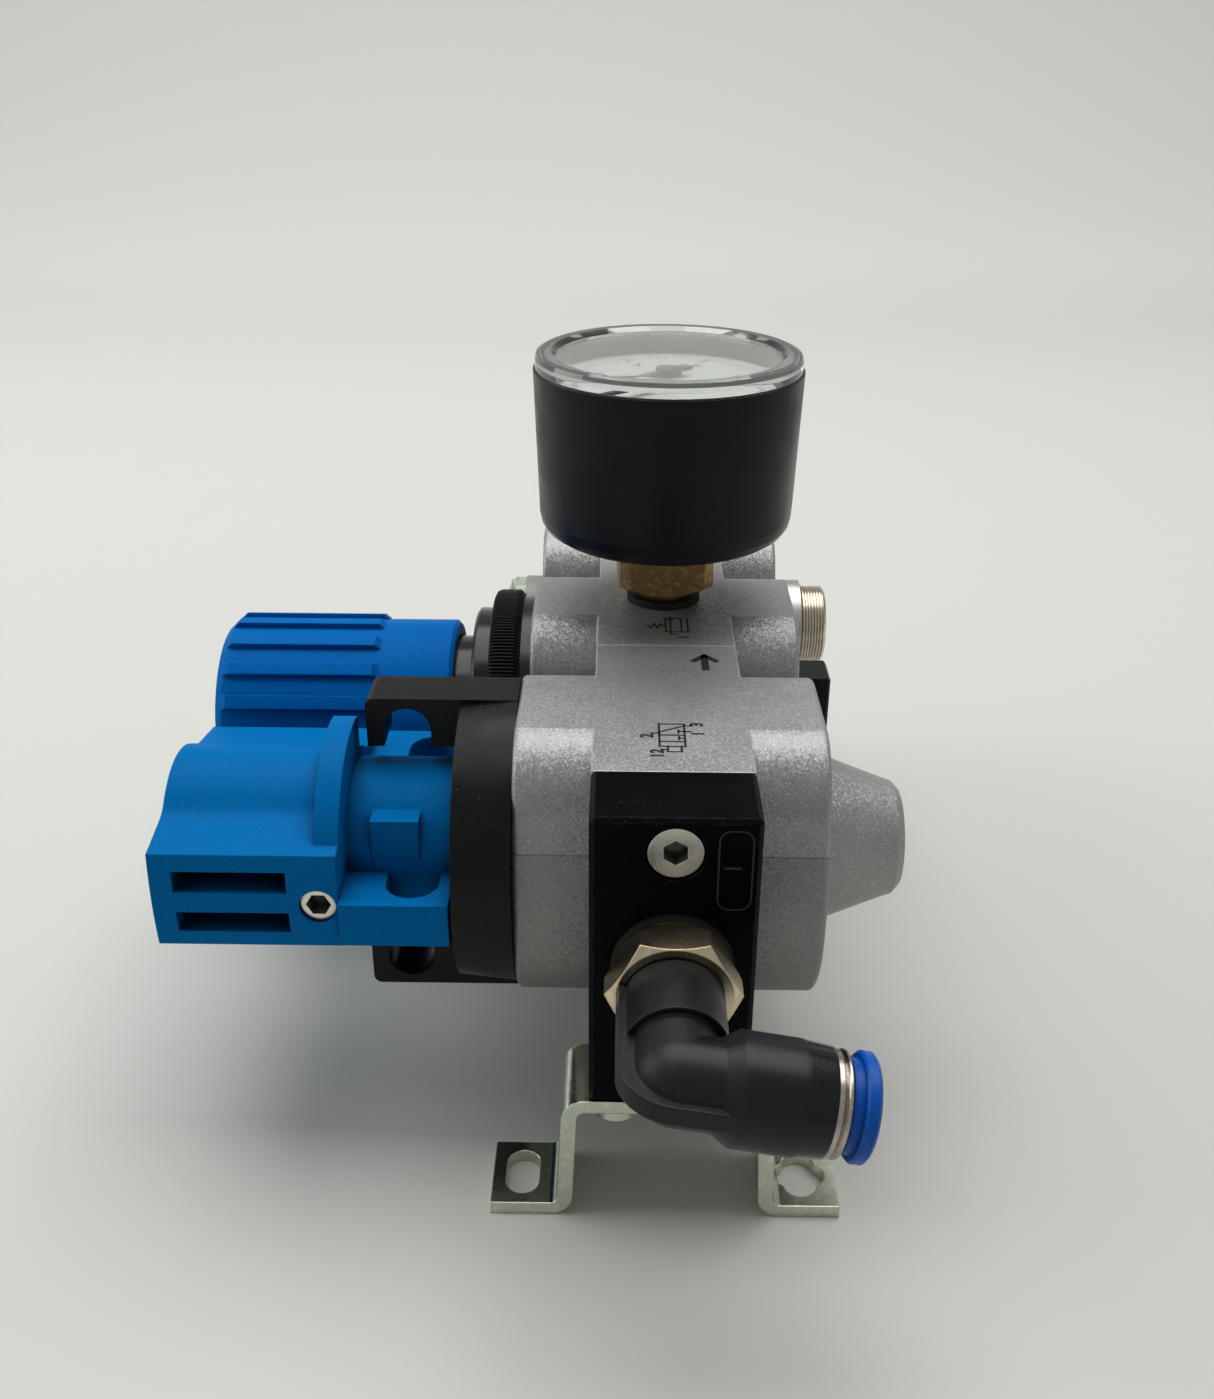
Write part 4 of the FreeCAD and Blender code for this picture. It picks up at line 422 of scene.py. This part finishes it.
FINISHES = {
    # The bright edges of the casting are a painted highlight.
    "grey_casting": finish("grey_casting", chart(134, 135, 135), chart(176, 176, 174), metallic=0.5,
                           roughness=0.44, spread=0.03, speck_size=0.2, speck_share=0.3, grain_size=0.5,
                           relief=0.002, edge_tone=chart(220, 220, 216), edge_radius=0.45, wear=0.7,
                           breaks=0.3, flake=0.3, flake_size=0.22, dust=0.08, recess=0.05,
                           # Painted shade below the parting line.
                           parting={"Height": 50.7, "Reach": 21.6}),
    "black_plate": finish("black_plate", chart(5, 7, 9), chart(11, 14, 17), roughness=0.34, spread=0.05,
                          gloss=0.03, grain_size=0.3, relief=0.003, edge_tone=chart(62, 68, 72), wear=0.6,
                          edge_radius=0.35, scratch=0.35, dust=0.08),
    "zinc_sheet": finish("zinc_sheet", chart(190, 198, 182), chart(222, 226, 206), metallic=1.0,
                         roughness=0.22, spread=0.08, speck_size=0.9, speck_share=0.5, grain_size=0.9,
                         relief=0.003, edge_tone=chart(240, 240, 228), edge_radius=0.3, breaks=0.5,
                         scratch=0.3, recess=0.15),
    # The screws get strong painted shade in their hexagon sockets.
    "bright_steel": finish("bright_steel", chart(212, 208, 198), chart(236, 232, 222), metallic=1.0,
                           roughness=0.3, grain_size=0.25, relief=0.003, edge_radius=0.15, scratch=0.3,
                           recess=0.95, reach=2.6),
    "spring_steel": finish("spring_steel", chart(120, 121, 123), chart(150, 150, 150), metallic=1.0,
                           roughness=0.3, grain_size=0.3, relief=0.002, edge_radius=0.1),
    "black_plastic": finish("black_plastic", chart(10, 12, 13), chart(21, 23, 24), roughness=0.38, gloss=0.14,
                            grain_size=0.3, relief=0.006, edge_tone=chart(50, 52, 53), dust=0.16),
    "fitting_black": finish("fitting_black", chart(15, 18, 21), chart(25, 28, 32), roughness=0.4, gloss=0.25,
                            grain_size=0.45, relief=0.005, edge_tone=chart(46, 49, 52), edge_radius=0.4,
                            recess=0.5,
                            band={"Start": BARREL_POLISH, "Droop": BARREL_DROOP, "Height": AXIS_HEIGHT}),
    "gauge_black": finish("gauge_black", chart(5, 9, 13), chart(12, 16, 21), roughness=0.36, gloss=0.17,
                          grain_size=0.4, relief=0.003, edge_tone=chart(48, 51, 53), wear=0.4, scratch=0.8,
                          scratch_turn=1.2, dust=0.3),
    "blue_plastic": finish("blue_plastic", chart(0, 98, 162), chart(0, 110, 178), roughness=0.45, gloss=0.02,
                           spread=0.05, grain_size=0.5, relief=0.004, edge_tone=chart(40, 140, 200),
                           edge_radius=0.4, wear=0.25, dust=0.05, recess=0.75, reach=5.0),
    "blue_knob_plastic": finish("blue_knob_plastic", chart(0, 92, 168), chart(0, 104, 180), roughness=0.45,
                                gloss=0.02, spread=0.05, grain_size=0.5, relief=0.004,
                                edge_tone=chart(36, 128, 196), edge_radius=0.35, wear=0.25, dust=0.05,
                                recess=0.6, reach=3.0),
    "release_blue": finish("release_blue", chart(0, 72, 160), chart(2, 86, 176), roughness=0.34, gloss=0.2,
                           grain_size=0.4, relief=0.003, edge_radius=0.2, wear=0.1),
    "grey_plastic": finish("grey_plastic", chart(134, 134, 126), chart(150, 150, 142), roughness=0.45),
    "rubber_seal": finish("rubber_seal", chart(18, 18, 18), chart(26, 26, 26), roughness=0.62, gloss=0.3,
                          relief=0.008),
    "brass_parts": finish("brass_parts", chart(190, 154, 88), chart(208, 176, 110), metallic=1.0,
                          roughness=0.3, edge_radius=0.15),
    "aged_brass": finish("aged_brass", chart(112, 88, 56), chart(168, 136, 90), metallic=0.9, roughness=0.42,
                         spread=0.12, speck_size=0.6, speck_share=0.5, grain_size=0.7, relief=0.01,
                         edge_tone=chart(206, 170, 110), wear=0.8, scratch=0.5),
    "nickel_plate": finish("nickel_plate", chart(190, 180, 160), chart(218, 209, 191), metallic=1.0,
                           roughness=0.24, spread=0.06, speck_size=1.4, speck_share=0.5, grain_size=1.1,
                           relief=0.003, edge_radius=0.2, scratch=0.3),
    # The copper edges of the hexagon are partly wear and partly a painted highlight.
    "nickel_worn_and_highlit": finish("nickel_worn_and_highlit", chart(186, 174, 150), chart(216, 202, 174), metallic=1.0,
                          roughness=0.24, spread=0.06, speck_size=1.6, speck_share=0.5, grain_size=1.3,
                          relief=0.003, edge_tone=chart(226, 172, 112), edge_radius=0.25, wear=0.8, breaks=0.6,
                          scratch=0.4, recess=0.1),
    "ring_nickel": finish("ring_nickel", chart(156, 148, 140), chart(190, 182, 174), metallic=1.0,
                          roughness=0.24, grain_size=0.6, relief=0.002, edge_radius=0.15, scratch=0.3),
    "bonnet_black": finish("bonnet_black", chart(12, 14, 20), chart(20, 23, 32), roughness=0.2, gloss=0.3,
                           grain_size=0.3, relief=0.003, edge_tone=chart(54, 58, 70), edge_radius=0.3),
    "bare_aluminium": finish("bare_aluminium", chart(176, 176, 172), chart(196, 196, 192), metallic=1.0,
                             roughness=0.34, edge_radius=0.15),
    "dial_white": finish("dial_white", chart(188, 190, 188), chart(198, 200, 198), roughness=0.5, relief=0.001,
                         wear=0.0, dust=0.0, recess=0.0),
    "pointer_black": finish("pointer_black", chart(14, 14, 14), chart(20, 20, 20), roughness=0.45,
                            relief=0.001, dust=0.0),
}
ENGRAVED = finish("engraved_line", chart(46, 50, 53), chart(64, 68, 70), roughness=0.5, gloss=0.2, wear=0.0)
INK = finish("printing_ink", chart(24, 25, 27), chart(38, 39, 41), roughness=0.5, gloss=0.3, wear=0.0,
             dust=0.0, relief=0.001)
print(len(FINISHES) + 2, "opaque finishes")

# %% [markdown]
# ## Clear parts
# The gauge window and the drip dome are clear plastic. Glass in a path tracer stops the light of the lamps
# behind it, so the parts inside would stay dark. Is Shadow Ray lowers the alpha for shadow rays only, which
# lets that light in. A little haze keeps the thick rim pale, as scuffed clear plastic is.

# %% Clear finishes
LET_THROUGH = 0.85   # the share of the lamps' light that passes


def clear(name, tint, roughness, clearness):
    material, tree, shader = new_material(name)
    grain = effect(tree, "grain", Size=1.2)
    shader.inputs["Base Color"].default_value = tint
    shader.inputs["Transmission Weight"].default_value = clearness
    shader.inputs["IOR"].default_value = 1.46
    rough = ramp(tree, grain.outputs["Height"], 0.3, 0.8, roughness, roughness + 0.04)
    tree.links.new(rough, shader.inputs["Roughness"])
    path = tree.nodes.new("ShaderNodeLightPath")
    shade = math_node(tree, "MULTIPLY", path.outputs["Is Shadow Ray"], LET_THROUGH)
    tree.links.new(math_node(tree, "SUBTRACT", 1.0, shade), shader.inputs["Alpha"])
    return material


FINISHES["clear_window"] = clear("clear_window", chart(234, 236, 234), 0.015, 0.97)
FINISHES["clear_dome"] = clear("clear_dome", chart(206, 214, 202), 0.06, 0.78)
print(len(FINISHES) + 2, "finishes in all")

# %% [markdown]
# ## Finishes on the solids
# Each solid already names its finish: its material slot in the imported record. Only the material in that slot
# changes, so the mesh stays as the CAD made it. Three solids share a slot with others but look a little
# different on the real unit, so they get a finish of their own: the hexagon, whose copper edges are partly wear
# and partly a painted highlight, the ring on the barrel and the glossy collar behind the knurled nut.

# %% Give each solid its finish
OWN_FINISH = {"fitting_stud": "nickel_worn_and_highlit", "fitting_trim_ring": "ring_nickel", "bonnet": "bonnet_black"}
plain = {}
for name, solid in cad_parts.items():
    for slot in solid.material_slots:
        wanted = OWN_FINISH.get(name, slot.material.name.split(".")[0])
        if wanted in FINISHES:
            slot.material = FINISHES[wanted]
        else:
            plain[name] = slot.material.name
print("solids without a finish:", plain)

# %% [markdown]
# ## Tools for turned and printed pieces
# A turned piece starts as a bare circle of edges at its first radius. Every point of its outline pulls the
# circle along and scales it, as an extrusion by hand does. Printed lines are very thin bars that lie on the
# surface, joined to one piece for each print.

# %% Modelling helpers
POLE = 0.001         # mm, a ring this small closes to one point when doubles are merged
PRINT = 0.03         # mm, the thickness of a printed line
FIGURE_SHARE = 0.7   # the height of a figure as a share of its font size


def select_only(*pieces):
    """Go to Object mode with only these pieces selected, the first of them active."""
    if bpy.context.object and bpy.context.object.mode != "OBJECT":
        bpy.ops.object.mode_set(mode="OBJECT")
    bpy.ops.object.select_all(action="DESELECT")
    for piece in pieces:
        piece.select_set(True)
    if pieces:
        bpy.context.view_layer.objects.active = pieces[0]


def apply_place():
    """Put the place, turn and size of the selected pieces into their meshes."""
    bpy.ops.object.transform_apply(location=True, rotation=True, scale=True)


def box_in_mm(name):
    """The two corners of a solid's box, in millimetres."""
    return [Vector(corner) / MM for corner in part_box(name)]


def settle(piece, name, material, body):
    """Put the place of a finished piece in its mesh, then name it, paint it and let it ride."""
    select_only(piece)
    apply_place()
    piece.name = name
    piece.data.materials.clear()
    piece.data.materials.append(material)
    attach(piece, body)
    select_only()
    print(name, len(piece.data.polygons), "faces on", body)
    return piece


def turned(outline, y, z, count):
    """Turn an outline of (x, radius) in millimetres about a line along X through y and z, in metres."""
    select_only()
    first_x, first_radius = outline[0]
    centre = Vector((first_x * MM, y, z))
    bpy.ops.mesh.primitive_circle_add(vertices=count, radius=first_radius * MM, fill_type="NOTHING",
                                      location=centre, rotation=(0, math.pi / 2, 0))
    piece = bpy.context.object
    apply_place()
    bpy.ops.object.mode_set(mode="EDIT")
    bpy.ops.mesh.select_mode(type="EDGE")
    bpy.ops.mesh.select_all(action="SELECT")
    last_x, last_radius = first_x, first_radius
    for x, radius in outline[1:]:
        centre.x = x * MM
        bpy.ops.mesh.extrude_region_move(TRANSFORM_OT_translate={"value": ((x - last_x) * MM, 0, 0)})
        ratio = radius / last_radius
        bpy.ops.transform.resize(value=(1, ratio, ratio), center_override=centre)
        last_x, last_radius = x, radius
    bpy.ops.mesh.select_all(action="SELECT")
    bpy.ops.mesh.remove_doubles(threshold=4 * POLE * MM)
    bpy.ops.mesh.normals_make_consistent(inside=False)
    bpy.ops.object.mode_set(mode="OBJECT")
    return piece


def bar(start, end, width, z):
    """A thin printed bar from start to end, both (x, y) in millimetres, on the level z in millimetres."""
    (x0, y0), (x1, y1) = start, end
    length = math.hypot(x1 - x0, y1 - y0)
    select_only()
    bpy.ops.mesh.primitive_cube_add(size=1.0, location=((x0 + x1) / 2 * MM, (y0 + y1) / 2 * MM, z * MM),
                                    rotation=(0, 0, math.atan2(y1 - y0, x1 - x0)))
    piece = bpy.context.object
    piece.scale = ((length + width) * MM, width * MM, PRINT * MM)
    apply_place()
    return piece


def figure(text, x, y, z, height, turn=0.0, lean=0.0, spin=0.0, weight=0.04):
    """A printed figure centred on x, y, z. Its height and the added weight of its strokes are in millimetres."""
    select_only()
    bpy.ops.object.text_add(location=(0, 0, 0))
    letters = bpy.context.object
    letters.data.body = text
    letters.data.align_x = "CENTER"
    letters.data.align_y = "CENTER"
    letters.data.size = height / FIGURE_SHARE * MM
    letters.data.extrude = PRINT / 2 * MM
    letters.data.offset = weight * MM
    letters.data.resolution_u = 3
    bpy.ops.object.convert(target="MESH")
    letters.rotation_euler = (lean, spin, turn)
    letters.location = (x * MM, y * MM, z * MM)
    apply_place()
    return letters


def joined(pieces):
    select_only(*pieces)
    bpy.ops.object.join()
    return bpy.context.object


print("doubles closer than", 4 * POLE, "mm are merged")

# %% [markdown]
# ## Knurled nut
# The panel nut has a straight knurl round the rim. The CAD nut has plain teeth there, 90 of them. Here the nut
# is turned with four vertices to a ridge, and pairs of them are then pressed in, so that each ridge has a flat
# top and sloped sides. Its 208 ridges are finer than the real ones, which number nearer 115.

# %% Knurled nut
def knurled_nut():
    low, high = box_in_mm("union_nut")
    middle_y, middle_z = (low.y + high.y) / 2, (low.z + high.z) / 2
    outer = (high.z - low.z) / 2
    bore, chamfer, ridges, depth = 17.95, 0.9, 208, 0.34
    left, right = low.x, high.x
    outline = [(left, bore), (left, outer - chamfer), (left + 0.3 * chamfer, outer - 0.35 * chamfer),
               (left + chamfer, outer), (right - chamfer, outer), (right, outer - chamfer),
               (right, bore), (left, bore)]
    piece = turned(outline, middle_y * MM, middle_z * MM, 4 * ridges)
    step = 2 * math.pi / (4 * ridges)
    bpy.ops.object.mode_set(mode="EDIT")
    bpy.ops.mesh.select_mode(type="VERT")
    bpy.ops.mesh.select_all(action="DESELECT")
    bpy.ops.object.mode_set(mode="OBJECT")
    for vertex in piece.data.vertices:
        y, z = vertex.co.y / MM - middle_y, vertex.co.z / MM - middle_z
        place = round(math.atan2(z, y) / step) % 4
        vertex.select = place < 2 and math.hypot(y, z) > outer - 0.8 * chamfer
    bpy.ops.object.mode_set(mode="EDIT")
    ratio = (outer - depth) / outer
    bpy.ops.transform.resize(value=(1, ratio, ratio),
                             center_override=(0, middle_y * MM, middle_z * MM))
    bpy.ops.object.mode_set(mode="OBJECT")
    return piece


nut = settle(knurled_nut(), "knurled_nut", FINISHES["black_plastic"], "housing")
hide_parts("union_nut")

# %% [markdown]
# ## Filler plug with its fine grooves
# The nickel-plated filler plug is gripped by fine grooves that run round it. They are real grooves here,
# because they show on its outline: the plug is turned with one ring for each crest and each valley.

# %% Filler plug
def grooved_plug():
    low, high = box_in_mm("fill_plug")
    middle_y, middle_z = (low.y + high.y) / 2, (low.z + high.z) / 2
    outer = (high.z - low.z) / 2
    spigot, width, pitch, depth, edge = 5.45, 4.9, 0.55, 0.2, 0.5
    seat, end = high.x - width, high.x
    outline = [(low.x, POLE), (low.x, spigot - edge / 2), (low.x + edge / 2, spigot), (seat, spigot),
               (seat, outer - edge), (seat + edge / 2, outer - depth)]
    grooves = int((width - 2 * edge) / pitch)
    for k in range(grooves):
        start = seat + edge + k * pitch
        outline += [(start, outer), (start + 0.5 * pitch, outer), (start + 0.75 * pitch, outer - depth)]
    outline += [(end - edge, outer), (end, outer - edge), (end, outer - 1.6), (end - 0.8, outer - 1.8),
                (end - 0.8, POLE)]
    return turned(outline, middle_y * MM, middle_z * MM, 96)


plug = settle(grooved_plug(), "grooved_filler_plug", FINISHES["nickel_plate"], "housing")
select_only(plug)
bpy.ops.object.shade_smooth_by_angle(angle=math.radians(25))
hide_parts("fill_plug")

# %% [markdown]
# ## Screws under the brackets
# Each bracket hangs on its end plate by two cap screws, whose heads show below the bridge of the sheet. The
# CAD carries small plain heads. Here one screw is turned with its full head, the hexagon socket is cut with a
# Boolean modifier, and the screw is copied to the four places of the CAD.

# %% Bracket screws
def cap_screw(seat, tip):
    """A socket head cap screw along Z. Its head is below seat and its thread ends at tip, in millimetres."""
    radius, height, shank, chamfer = 3.5, 4.0, 2.0, 0.4
    socket_flats, socket_depth = 3.0, 2.0
    crown = seat - height
    outline = [(crown, POLE), (crown, radius - chamfer), (crown + chamfer, radius), (seat, radius),
               (seat, shank), (tip - chamfer, shank), (tip, shank - chamfer), (tip, POLE)]
    piece = turned(outline, 0, 0, 64)
    piece.rotation_euler = (0, -math.pi / 2, 0)
    apply_place()
    select_only()
    bpy.ops.mesh.primitive_cylinder_add(vertices=6, radius=socket_flats / math.sqrt(3) * MM,
                                        depth=2 * socket_depth * MM, location=(0, 0, crown * MM))
    key = bpy.context.object
    select_only(piece)
    cut = piece.modifiers.new("socket", "BOOLEAN")
    cut.operation = "DIFFERENCE"
    cut.object = key
    bpy.ops.object.modifier_apply(modifier=cut.name)
    bpy.ops.object.shade_smooth_by_angle(angle=math.radians(30))
    select_only(key)
    bpy.ops.object.delete()
    return piece


def bracket_screw_set():
    low, high = box_in_mm("bracket_screws")
    cad_radius, cad_height = 3.3, 2.4    # of the screw heads in the CAD
    first = cap_screw(low.z + cad_height, high.z)
    screws = []
    for x in (low.x + cad_radius, high.x - cad_radius):
        for y in (low.y + cad_radius, high.y - cad_radius):
            select_only(first)
            bpy.ops.object.duplicate(linked=False)
            copy = bpy.context.object
            copy.location = (x * MM, y * MM, 0)
            screws.append(copy)
    select_only(first)
    bpy.ops.object.delete()
    select_only(*screws)
    apply_place()
    return joined(screws)


screws = settle(bracket_screw_set(), "bracket_cap_screws", FINISHES["bright_steel"], "housing")
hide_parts("bracket_screws")

# %% [markdown]
# ## Printed symbols
# A black arrow on the top strip of the valve shows the way of the air. Next to it stands the standard symbol
# of a three-port valve with its port numbers, printed to be read from the side. The regulator has the
# symbol of a pressure regulator. All lines lie a hair above the paint.

# %% Arrow and valve symbol
ABOVE = 0.01    # mm, the middle of a printed line above its surface
TOP = box_in_mm("valve_body")[1].z + ABOVE
SYMBOL_LINE, SYMBOL_WEIGHT = 0.3, 0.09    # mm, width of the lines and added weight of the figures


def flow_arrow():
    middle, tail, tip = 5.65, -28.3, -23.6
    shaft = bar((middle, tail), (middle, tip - 1.0), 1.15, TOP)
    wings = [bar((middle + side * 1.6, tip - 1.9), (middle + side * 0.1, tip - 0.1), 0.95, TOP)
             for side in (-1, 1)]
    return joined([shaft] + wings)


def valve_symbol():
    left, right, front, back, middle = -1.7, 1.75, -53.0, -46.5, -49.75
    lines = [((left, front), (left, back)), ((right, front), (right, back)), ((left, front), (right, front)),
             ((left, back), (right, back)), ((left, middle), (right, middle)),
             ((left, -48.9), (right, -47.0)), ((left - 1.1, -49.2), (left, -49.2)),
             ((right, -47.0), (right + 0.9, -47.0)), ((right, -48.7), (right + 0.9, -48.7)),
             ((right - 0.8, -48.3), (right - 0.8, -49.1)), ((right - 0.8, -48.7), (right, -48.7)),
             ((left, -51.6), (right, -51.6)), ((right - 0.8, -50.2), (right - 0.8, -51.0)),
             ((right - 0.8, -50.6), (right, -50.6)), ((-0.6, front), (-0.6, front - 1.5)),
             ((1.2, front), (1.2, front - 1.5)), ((-0.6, front - 1.5), (1.2, front - 1.5)),
             ((-1.5, front - 0.9), (-0.9, front - 0.9))]
    pieces = [bar(start, end, SYMBOL_LINE, TOP) for start, end in lines]
    for text, x, y in (("2", -3.3, -50.0), ("3", 3.55, -46.6), ("1", 3.65, -49.3), ("12", -2.0, -55.0)):
        pieces.append(figure(text, x, y, TOP, 1.7, turn=math.pi / 2, weight=SYMBOL_WEIGHT))
    return joined(pieces)


settle(flow_arrow(), "flow_arrow", INK, "housing")
settle(valve_symbol(), "valve_symbol", INK, "housing")

# %% Regulator symbol
def regulator_symbol():
    left, right, front, back = 0.1, 2.6, -14.6, -9.2
    spring = [(-0.2, -12.4), (-0.7, -11.4), (-1.2, -13.2), (-1.7, -11.4), (-2.2, -13.2), (-2.7, -12.2)]
    lines = [((left, front), (left, back)), ((right, front), (right, back)), ((left, front), (right, front)),
             ((left, back), (right, back)), ((0.9, front - 1.0), (0.9, back + 0.4)),
             ((0.9, back + 0.4), (0.5, back - 0.6)), ((0.9, back + 0.4), (1.3, back - 0.6)),
             ((right + 0.3, front), (right + 1.0, front)), ((right + 1.0, front), (right + 1.0, back)),
             ((0.9, front - 1.0), (1.9, front - 1.0))]
    lines += list(zip(spring[:-1], spring[1:]))
    pieces = [bar(start, end, SYMBOL_LINE, TOP) for start, end in lines]
    pieces.append(figure("1", 2.9, -16.7, TOP, 1.6, turn=math.pi / 2, weight=SYMBOL_WEIGHT))
    return joined(pieces)


settle(regulator_symbol(), "regulator_symbol", INK, "housing")

# %% [markdown]
# ## Port mark on the end plate
# The front plate has a faint rounded frame beside the upper screw with the number of the port in it. It is a
# shallow engraving that shows as a paler line, so it is drawn as a flat ring in the colour of the cut metal.

# %% Port mark
def port_mark():
    left, right, low, high, corner, line = 5.2, 9.6, 51.6, 63.2, 1.6, 0.22
    select_only()
    bpy.ops.mesh.primitive_plane_add(size=1.0, location=((left + right) / 2 * MM, 0, (low + high) / 2 * MM),
                                     rotation=(math.pi / 2, 0, 0))
    outline = bpy.context.object
    outline.scale = ((right - left) * MM, (high - low) * MM, 1)
    apply_place()
    bpy.ops.object.mode_set(mode="EDIT")
    bpy.ops.mesh.select_all(action="SELECT")
    bpy.ops.mesh.bevel(offset=corner * MM, segments=5, affect="VERTICES")
    bpy.ops.mesh.select_mode(type="FACE")
    bpy.ops.mesh.select_all(action="SELECT")
    bpy.ops.mesh.inset(thickness=line * MM)
    bpy.ops.mesh.delete(type="FACE")
    bpy.ops.mesh.select_all(action="SELECT")
    bpy.ops.mesh.extrude_region_move(TRANSFORM_OT_translate={"value": (0, PRINT * MM, 0)})
    bpy.ops.mesh.select_all(action="SELECT")
    bpy.ops.mesh.normals_make_consistent(inside=False)
    bpy.ops.object.mode_set(mode="OBJECT")
    number = figure("1", 7.2, 0, 57.8, 2.2, lean=math.pi / 2, spin=-math.pi / 2, weight=0.0)
    mark = joined([outline, number])
    mark.location = (0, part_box("front_plate")[0][1] - 0.02 * MM, 0)
    return mark


settle(port_mark(), "port_mark", ENGRAVED, "housing")

# %% [markdown]
# ## Print on the gauge dial
# The dial has a black scale of three quarters of a turn, with long and short lines and plain numbers. Each
# line is a bar from one radius to another, at its own angle, and every tenth line is long and has a number.

# %% Dial scale
def dial_scale():
    marks, sweep, first_angle, marks_to_a_figure = 51, 270, 225, 10
    line_end, long_start, short_start, figure_radius = 15.2, 13.0, 14.2, 10.6
    face = box_in_mm("gauge_dial")[1].z + ABOVE
    pieces = []
    for k in range(marks):
        angle = math.radians(first_angle - sweep * k / (marks - 1))
        along, across = math.cos(angle), math.sin(angle)
        major = k % marks_to_a_figure == 0
        inner, width = (long_start, 0.45) if major else (short_start, 0.2)
        pieces.append(bar((inner * along, inner * across), (line_end * along, line_end * across), width, face))
        if major:
            number = str(2 * k // marks_to_a_figure)
            pieces.append(figure(number, figure_radius * along, figure_radius * across, face, 2.2))
    return joined(pieces)


settle(dial_scale(), "dial_scale", INK, "housing")

# %% [markdown]
# ## Floor, light and camera
# The unit stands on a pale floor that curves up behind it, under a large soft light from above and behind and
# a weaker one from the left, so that the tops are bright and the fronts lie in soft shade. The far floor gets
# less light than the near one. A little glow that only shows where it is looked at makes it even again, and
# the world too is paler to look at than the light that it sends to the unit.

# %% Floor
def pale_floor():
    """A plane whose rear edge is pulled up to a wall, with a wide round between them."""
    width, depth, height, bend, rear = 9.0, 6.0, 2.4, 0.5, 1.3
    select_only()
    bpy.ops.mesh.primitive_plane_add(size=1.0, location=(0, rear - depth / 2, 0))
    floor = bpy.context.object
    floor.scale = (width, depth, 1)
    apply_place()
    bpy.ops.object.mode_set(mode="EDIT")
    bpy.ops.mesh.select_mode(type="EDGE")
    bpy.ops.mesh.select_all(action="DESELECT")
    bpy.ops.object.mode_set(mode="OBJECT")
    for edge in floor.data.edges:
        edge.select = all(floor.data.vertices[k].co.y > rear - MM for k in edge.vertices)
    bpy.ops.object.mode_set(mode="EDIT")
    bpy.ops.mesh.extrude_region_move(TRANSFORM_OT_translate={"value": (0, 0, height)})
    bpy.ops.mesh.select_all(action="DESELECT")
    bpy.ops.object.mode_set(mode="OBJECT")
    for edge in floor.data.edges:
        ends = [floor.data.vertices[k].co for k in edge.vertices]
        edge.select = all(end.y > rear - MM and end.z < MM for end in ends)
    bpy.ops.object.mode_set(mode="EDIT")
    bpy.ops.mesh.bevel(offset=bend, segments=24, affect="EDGES")
    bpy.ops.object.mode_set(mode="OBJECT")
    bpy.ops.object.shade_smooth()
    floor.name = "pale_floor"
    return floor


GLOW = 0.15                      # strength on the far floor and the wall
GLOW_START, GLOW_FULL = 0.5, 0.86    # m behind the unit
floor = pale_floor()
floor_paint, tree, shader = new_material("floor_paint")
shader.inputs["Base Color"].default_value = chart(202, 203, 198)
shader.inputs["Roughness"].default_value = 0.9
shader.inputs["Specular IOR Level"].default_value = 0.1
glow = ramp(tree, separate(tree, object_place(tree))["Y"], GLOW_START, GLOW_FULL, 0.0, GLOW)
glow = math_node(tree, "MULTIPLY", glow, seen_directly(tree))
shader.inputs["Emission Color"].default_value = (1.0, 1.0, 1.0, 1.0)
tree.links.new(glow, shader.inputs["Emission Strength"])
floor.data.materials.append(floor_paint)
print("floor:", len(floor.data.polygons), "faces")

# %% Lights
def area_light(name, place, aim, size, power):
    lamp = bpy.data.lights.new(name, "AREA")
    lamp.shape = "RECTANGLE"
    lamp.size, lamp.size_y = size
    lamp.energy = power
    holder = bpy.data.objects.new(name, lamp)
    bpy.context.scene.collection.objects.link(holder)
    holder.location = place
    holder.rotation_euler = (Vector(aim) - Vector(place)).to_track_quat("-Z", "Y").to_euler()
    print(name, power, "W")


area_light("top_light", (0.0, 0.27, 1.0), (0, 0, 0.05), (1.2, 0.9), 12.0)
area_light("left_light", (-1.1, 0.15, 0.6), (0, 0, 0.05), (0.7, 0.7), 5.0)
world = bpy.data.worlds.new("studio")
bpy.context.scene.world = world
world.use_nodes = True
WORLD_LIGHT, WORLD_SEEN = 0.27, 0.45
sky = world.node_tree
extra = math_node(sky, "MULTIPLY", seen_directly(sky), WORLD_SEEN - WORLD_LIGHT)
strength = math_node(sky, "ADD", extra, WORLD_LIGHT)
sky.nodes["Background"].inputs["Color"].default_value = (1.0, 1.0, 0.97, 1.0)
sky.links.new(strength, sky.nodes["Background"].inputs["Strength"])

# %% Camera
camera_data = bpy.data.cameras.new("camera")
camera_data.lens = 36.594
camera_data.sensor_width = 36.0
camera = bpy.data.objects.new("camera", camera_data)
bpy.context.scene.collection.objects.link(camera)
yaw, pitch, roll = math.radians(0.501), math.radians(26.088), math.radians(0.381)
turn = Matrix.Rotation(yaw, 4, "Z")
turn = turn @ Matrix.Rotation(math.pi / 2 - pitch, 4, "X") @ Matrix.Rotation(roll, 4, "Z")
camera.matrix_world = Matrix.Translation((-0.007273, -0.219954, 0.153190)) @ turn
bpy.context.scene.camera = camera
bpy.context.scene.view_settings.view_transform = "Standard"
print("camera at", tuple(round(value, 4) for value in camera.matrix_world.translation), "m")
